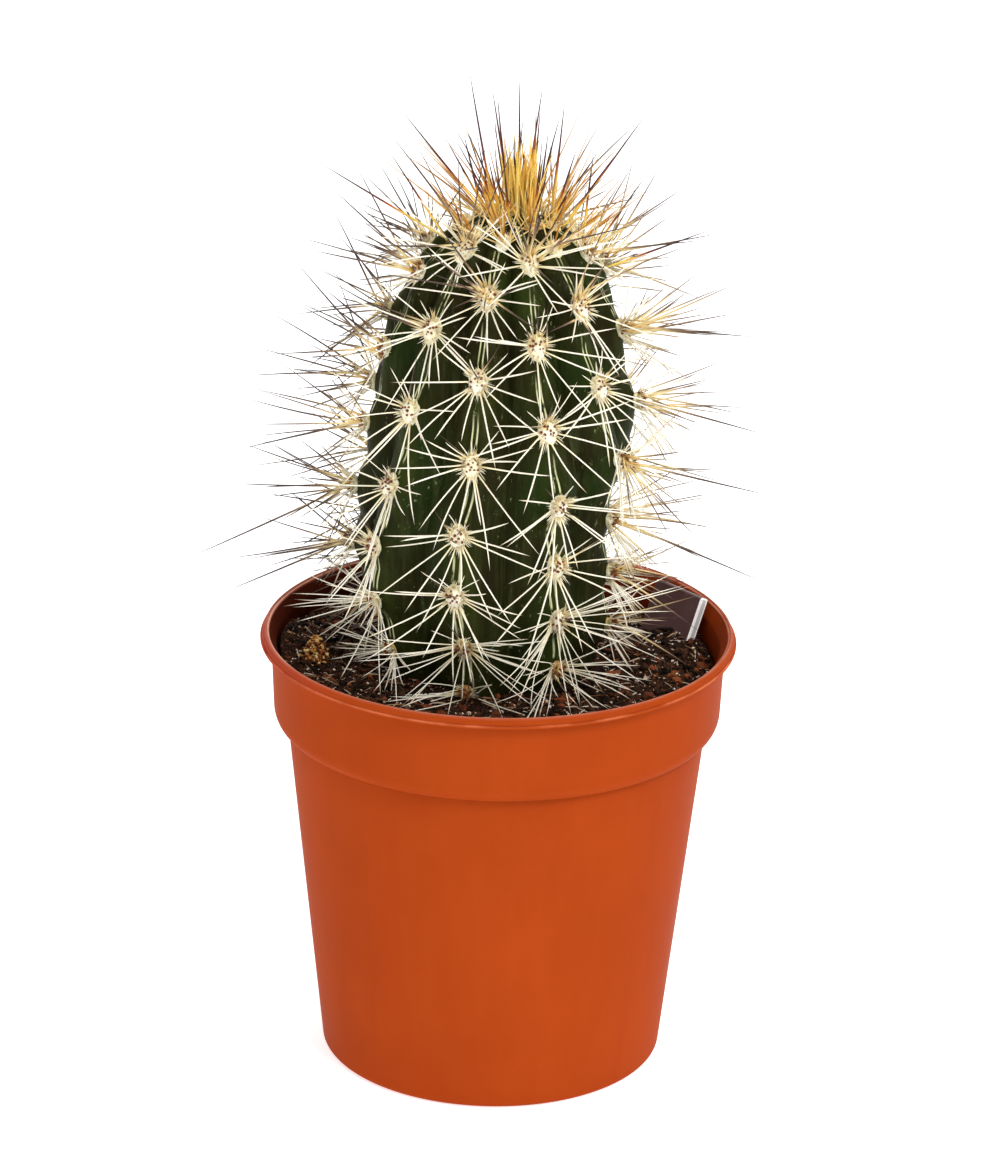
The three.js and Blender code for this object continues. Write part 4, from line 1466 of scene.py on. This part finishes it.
def build_soil():
    """The soil's surface with its slope and lumps, closed by the pot's inside below."""
    top_radii = np.linspace(SOIL_EDGE_RADIUS, 0, SOIL_RINGS + 1)[:-1]
    angles = np.linspace(0, 2 * math.pi, SOIL_SEGMENTS, endpoint=False)
    gap = 0.35
    side = [
        (FOOT_RADIUS - WALL - gap, 3.9),
        (BODY_TOP_RADIUS - WALL - gap, SHOULDER_FOOT + WALL),
        (BAND_FOOT_RADIUS - WALL - gap, SHOULDER_TOP + WALL + 1),
    ]
    points = [(r * math.cos(a), r * math.sin(a), z) for r, z in side for a in angles]
    for r in top_radii:
        for a in angles:
            x, y = r * math.cos(a), r * math.sin(a)
            points.append((x, y, soil_height(x, y)))
    low = len(points)
    points += [(0, 0, 3.9), (0, 0, soil_height(0, 0))]
    rings = len(side) + len(top_radii)
    faces = grid_faces(rings, SOIL_SEGMENTS)
    last = (rings - 1) * SOIL_SEGMENTS
    for j in range(SOIL_SEGMENTS):
        k = (j + 1) % SOIL_SEGMENTS
        faces.append((low, k, j))
        faces.append((low + 1, last + j, last + k))
    soil = make_object("soil_surface", points, faces, paint_soil())
    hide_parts("soil")


def lump_shapes(count, stretch, finer=2):
    """A few rough pebbles: unit vertices for each, and their shared faces."""
    bpy.ops.mesh.primitive_ico_sphere_add(subdivisions=finer, radius=1)
    ball = bpy.context.object
    points = np.array([v.co for v in ball.data.vertices])
    faces = np.array([list(p.vertices) for p in ball.data.polygons])
    bpy.data.objects.remove(ball)
    shapes = []
    for i in range(count):
        rough = 1 + 0.6 * waves(points + i * 7.3, 1.4, 3)
        shapes.append(points * rough[:, None] * stretch)
    return shapes, faces


def random_turn(rng, flat=1.0):
    """A random rotation. With flat under 1 it stays near the level."""
    tilt = rng.normal(0, 1) * math.pi * flat / 2
    spin = rng.uniform(0, 2 * math.pi)
    return (Matrix.Rotation(spin, 3, "Z") @ Matrix.Rotation(tilt, 3, "X")).to_3x3()


def soil_place(rng, size=0.3):
    """A place on the open soil for a thing of that size, between the stem and the wall."""
    inner, outer = 21.0, SOIL_EDGE_RADIUS - 1.5 * size
    while True:
        r = math.sqrt(rng.uniform(inner**2, outer**2))
        a = rng.uniform(0, 2 * math.pi)
        x, y = r * math.cos(a), r * math.sin(a)
        if math.hypot(x - float(stem_centre(SOIL_LEVEL)), y) > 20.5:
            return x, y


class Bits:
    """Crumbs and chips gathered into one mesh, each with its own colour in the map."""

    def __init__(self, shapes, faces):
        self.shapes = shapes
        self.faces = faces
        self.points = []
        self.map = []

    def add(self, rng, place, size, turn, stuff):
        shape = self.shapes[rng.integers(len(self.shapes))]
        turned = shape @ np.array(turn).T
        self.points.append(turned * size + place)
        u = np.clip(stuff + 0.02 * shape[:, 0] / 1.5, 0, 1)
        # Painted shade: the map's Y is higher on each bit's upper side, so its underside comes out darker.
        v = np.clip(0.5 + 0.35 * turned[:, 2] + 0.1 * shape[:, 1], 0, 1)
        self.map.append(np.stack([u, v], axis=1))

    def build(self, name, material, smooth):
        per_bit = len(self.points[0])
        every = np.concatenate(
            [self.faces + n * per_bit for n in range(len(self.points))]
        )
        made = make_object(name, np.concatenate(self.points), every, material, smooth)
        places = np.concatenate(self.map)[every.ravel()]
        layer = made.data.uv_layers.new(name="OFBake")
        layer.data.foreach_set("uv", places.astype(np.float32).ravel())
        return made


def crumb_stuff(rng):
    """Where a crumb lies on the ramp of soil colours: mostly dark, some brown, few pale."""
    kind = rng.random()
    if kind < 0.6:
        return rng.uniform(0.02, 0.38)
    if kind < 0.93:
        return rng.uniform(0.38, 0.68)
    return rng.uniform(0.88, 1.0)


def grain_stuff(rng):
    """As crumb_stuff, with more of the pale and the reddish grains."""
    kind = rng.random()
    if kind < 0.42:
        return rng.uniform(0.02, 0.38)
    if kind < 0.84:
        return rng.uniform(0.38, 0.72)
    # The pale grains stand partly for the soil's own pale bits and partly for painted glints.
    return rng.uniform(0.88, 1.0)


def build_crumbs(material):
    rng = dice(200)
    crumbs = Bits(*lump_shapes(14, (1.0, 0.8, 0.65)))
    for _ in range(CRUMBS):
        low, high = CRUMB_SIZE
        size = low + (high - low) * rng.random() ** 3.2
        x, y = soil_place(rng, size)
        stuff = crumb_stuff(rng)
        if stuff > 0.8:
            size = min(size, 0.5)
        place = (x, y, soil_height(x, y) + size * 0.25)
        crumbs.add(rng, place, size, random_turn(rng), stuff)
    for _ in range(GOLD_CRUMBS):
        offset = rng.normal(0, 0.42, 2) * GOLD_LUMP_RADIUS
        x, y = GOLD_LUMP[0] + offset[0], GOLD_LUMP[1] + offset[1]
        heap = GOLD_LUMP_HEIGHT * math.exp(-float(offset @ offset) / GOLD_LUMP_RADIUS**2)
        size = rng.uniform(0.16, 0.46)
        place = (x, y, soil_height(x, y) + heap * rng.uniform(0.2, 1))
        crumbs.add(rng, place, size, random_turn(rng), rng.choice(GOLD_STUFF) + rng.normal(0, 0.01))
    piece = crumbs.build("soil_crumbs", material, False)
    grains = Bits(*lump_shapes(14, (1.0, 0.6, 0.5), 1))
    for _ in range(GRAINS):
        x, y = soil_place(rng)
        size = rng.uniform(*GRAIN_SIZE)
        place = (x, y, soil_height(x, y) + size * 0.3 + 0.5 * rng.random() ** 2)
        grains.add(rng, place, size, random_turn(rng), grain_stuff(rng))
    piece = grains.build("soil_grains", material, False)


def build_chips(material):
    rng = dice(300)
    chips = Bits(*lump_shapes(8, (1.0, 0.3, 0.22)))
    for _ in range(CHIPS):
        size = rng.uniform(*CHIP_LENGTH) / 2
        x, y = soil_place(rng, size)
        place = (x, y, soil_height(x, y) + 0.4)
        stuff = rng.uniform(0.46, 0.68) if rng.random() < 0.36 else rng.uniform(0.08, 0.44)
        chips.add(rng, place, size, random_turn(rng, 0.14), stuff)
    piece = chips.build("bark_chips", material, False)


def paint_fibres():
    paint = Paint("soil_fibres", 0.85)
    strip = paint.math("FLOOR", paint.math("MULTIPLY", paint.map_axis("Y"), BANDS))
    pick = paint.math("DIVIDE", strip, BANDS - 1)
    stops = (
        (0.0, srgb(22, 15, 12)),
        (0.4, srgb(66, 42, 30)),
        (0.62, srgb(128, 82, 54)),
        (0.8, srgb(184, 152, 118)),
        (1.0, srgb(222, 210, 190)),
    )
    light = paint.ramp(paint.map_axis("X"), ((0.0, 0.8), (1.0, 1.0)))
    paint.colour(paint.mix(1.0, paint.ramp(pick, stops), light, "MULTIPLY"))
    return paint.material


def build_soil_fibres():
    rng = dice(400)
    fibres = Needles(sides=4, steps=6, bulb=0, blunt=3)
    for _ in range(SOIL_FIBRES):
        x, y = soil_place(rng)
        spin = rng.uniform(0, 2 * math.pi)
        length = 1.4 + 7.0 * rng.random() ** 1.6
        end_x, end_y = x + length * math.cos(spin), y + length * math.sin(spin)
        if math.hypot(end_x, end_y) > SOIL_EDGE_RADIUS - 0.8:
            continue
        root = np.array([x, y, soil_height(x, y) + 0.15])
        end = np.array([end_x, end_y, soil_height(end_x, end_y) + 0.2])
        hump = rng.uniform(0.05, 0.25)
        direction = unit(end - root) + np.array([0, 0, hump])
        bend = np.array([rng.normal(0, 0.2), rng.normal(0, 0.2), -hump])
        strip = int(BANDS * rng.random())
        fibres.add(root, direction, length, rng.uniform(0.09, 0.22), bend, strip)
    piece = fibres.build("soil_fibres", paint_fibres())


# ==== The plant label ====


def build_label():
    """A thick blade with a point below and pale cut edges along its two sides, with painted highlights along
    their bevels.
    """
    half = LABEL_WIDTH / 2
    corner = 0.35
    outline = [
        (-half, -LABEL_LENGTH + LABEL_POINT),
        (0, -LABEL_LENGTH),
        (half, -LABEL_LENGTH + LABEL_POINT),
        (half, -corner),
        (half - corner, 0),
        (corner - half, 0),
        (-half, -corner),
    ]
    bevel = 0.3
    thick = LABEL_THICKNESS / 2
    border = 0.35
    # Each layer: depth, inset and edge value; 0.5 to 0.6 paints the white highlight on a bevel, 1.0 the grey
    # middle of a cut edge.
    layers = [
        (-thick, bevel, 0.0),
        (-thick + bevel, 0, 0.5),
        (-thick + bevel + border, 0, 0.6),
        (-thick + bevel + border + 0.05, 0, 1.0),
        (thick - bevel - border - 0.05, 0, 1.0),
        (thick - bevel - border, 0, 0.6),
        (thick - bevel, 0, 0.5),
        (thick, bevel, 0.0),
    ]
    middle = np.array([0, -LABEL_LENGTH / 2])
    points, edge = [], []
    for depth, inset, pale in layers:
        for p in np.array(outline):
            q = p - np.sign(p - middle) * inset
            points.append((q[0], depth, q[1]))
            edge.append(pale if abs(p[0]) == half else 0.0)
    count = len(outline)
    faces = grid_faces(len(layers), count)
    faces.append(list(range(count)))
    faces.append(list(range((len(layers) - 1) * count, len(layers) * count))[::-1])
    azimuth = math.radians(LABEL_AZIMUTH)
    facing = Matrix.Rotation(math.radians(LABEL_FACING), 3, "Z")
    turn = facing @ Matrix.Rotation(math.radians(LABEL_LEAN), 3, "X")
    place = (LABEL_RADIUS * math.sin(azimuth), -LABEL_RADIUS * math.cos(azimuth), LABEL_TOP)
    placed = np.array(points) @ np.array(turn).T + place
    label = make_object("plant_label_blade", placed, faces, paint_label(), False)
    set_values(label.data, "edge", edge)
    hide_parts("plant_label")


# ==== Assembly ====


add_camera()
add_studio()
build_pot()
build_stem()
build_areoles()
build_crown()
build_soil()
soil_bits = paint_crumbs()
build_crumbs(soil_bits)
build_chips(soil_bits)
build_soil_fibres()
build_label()
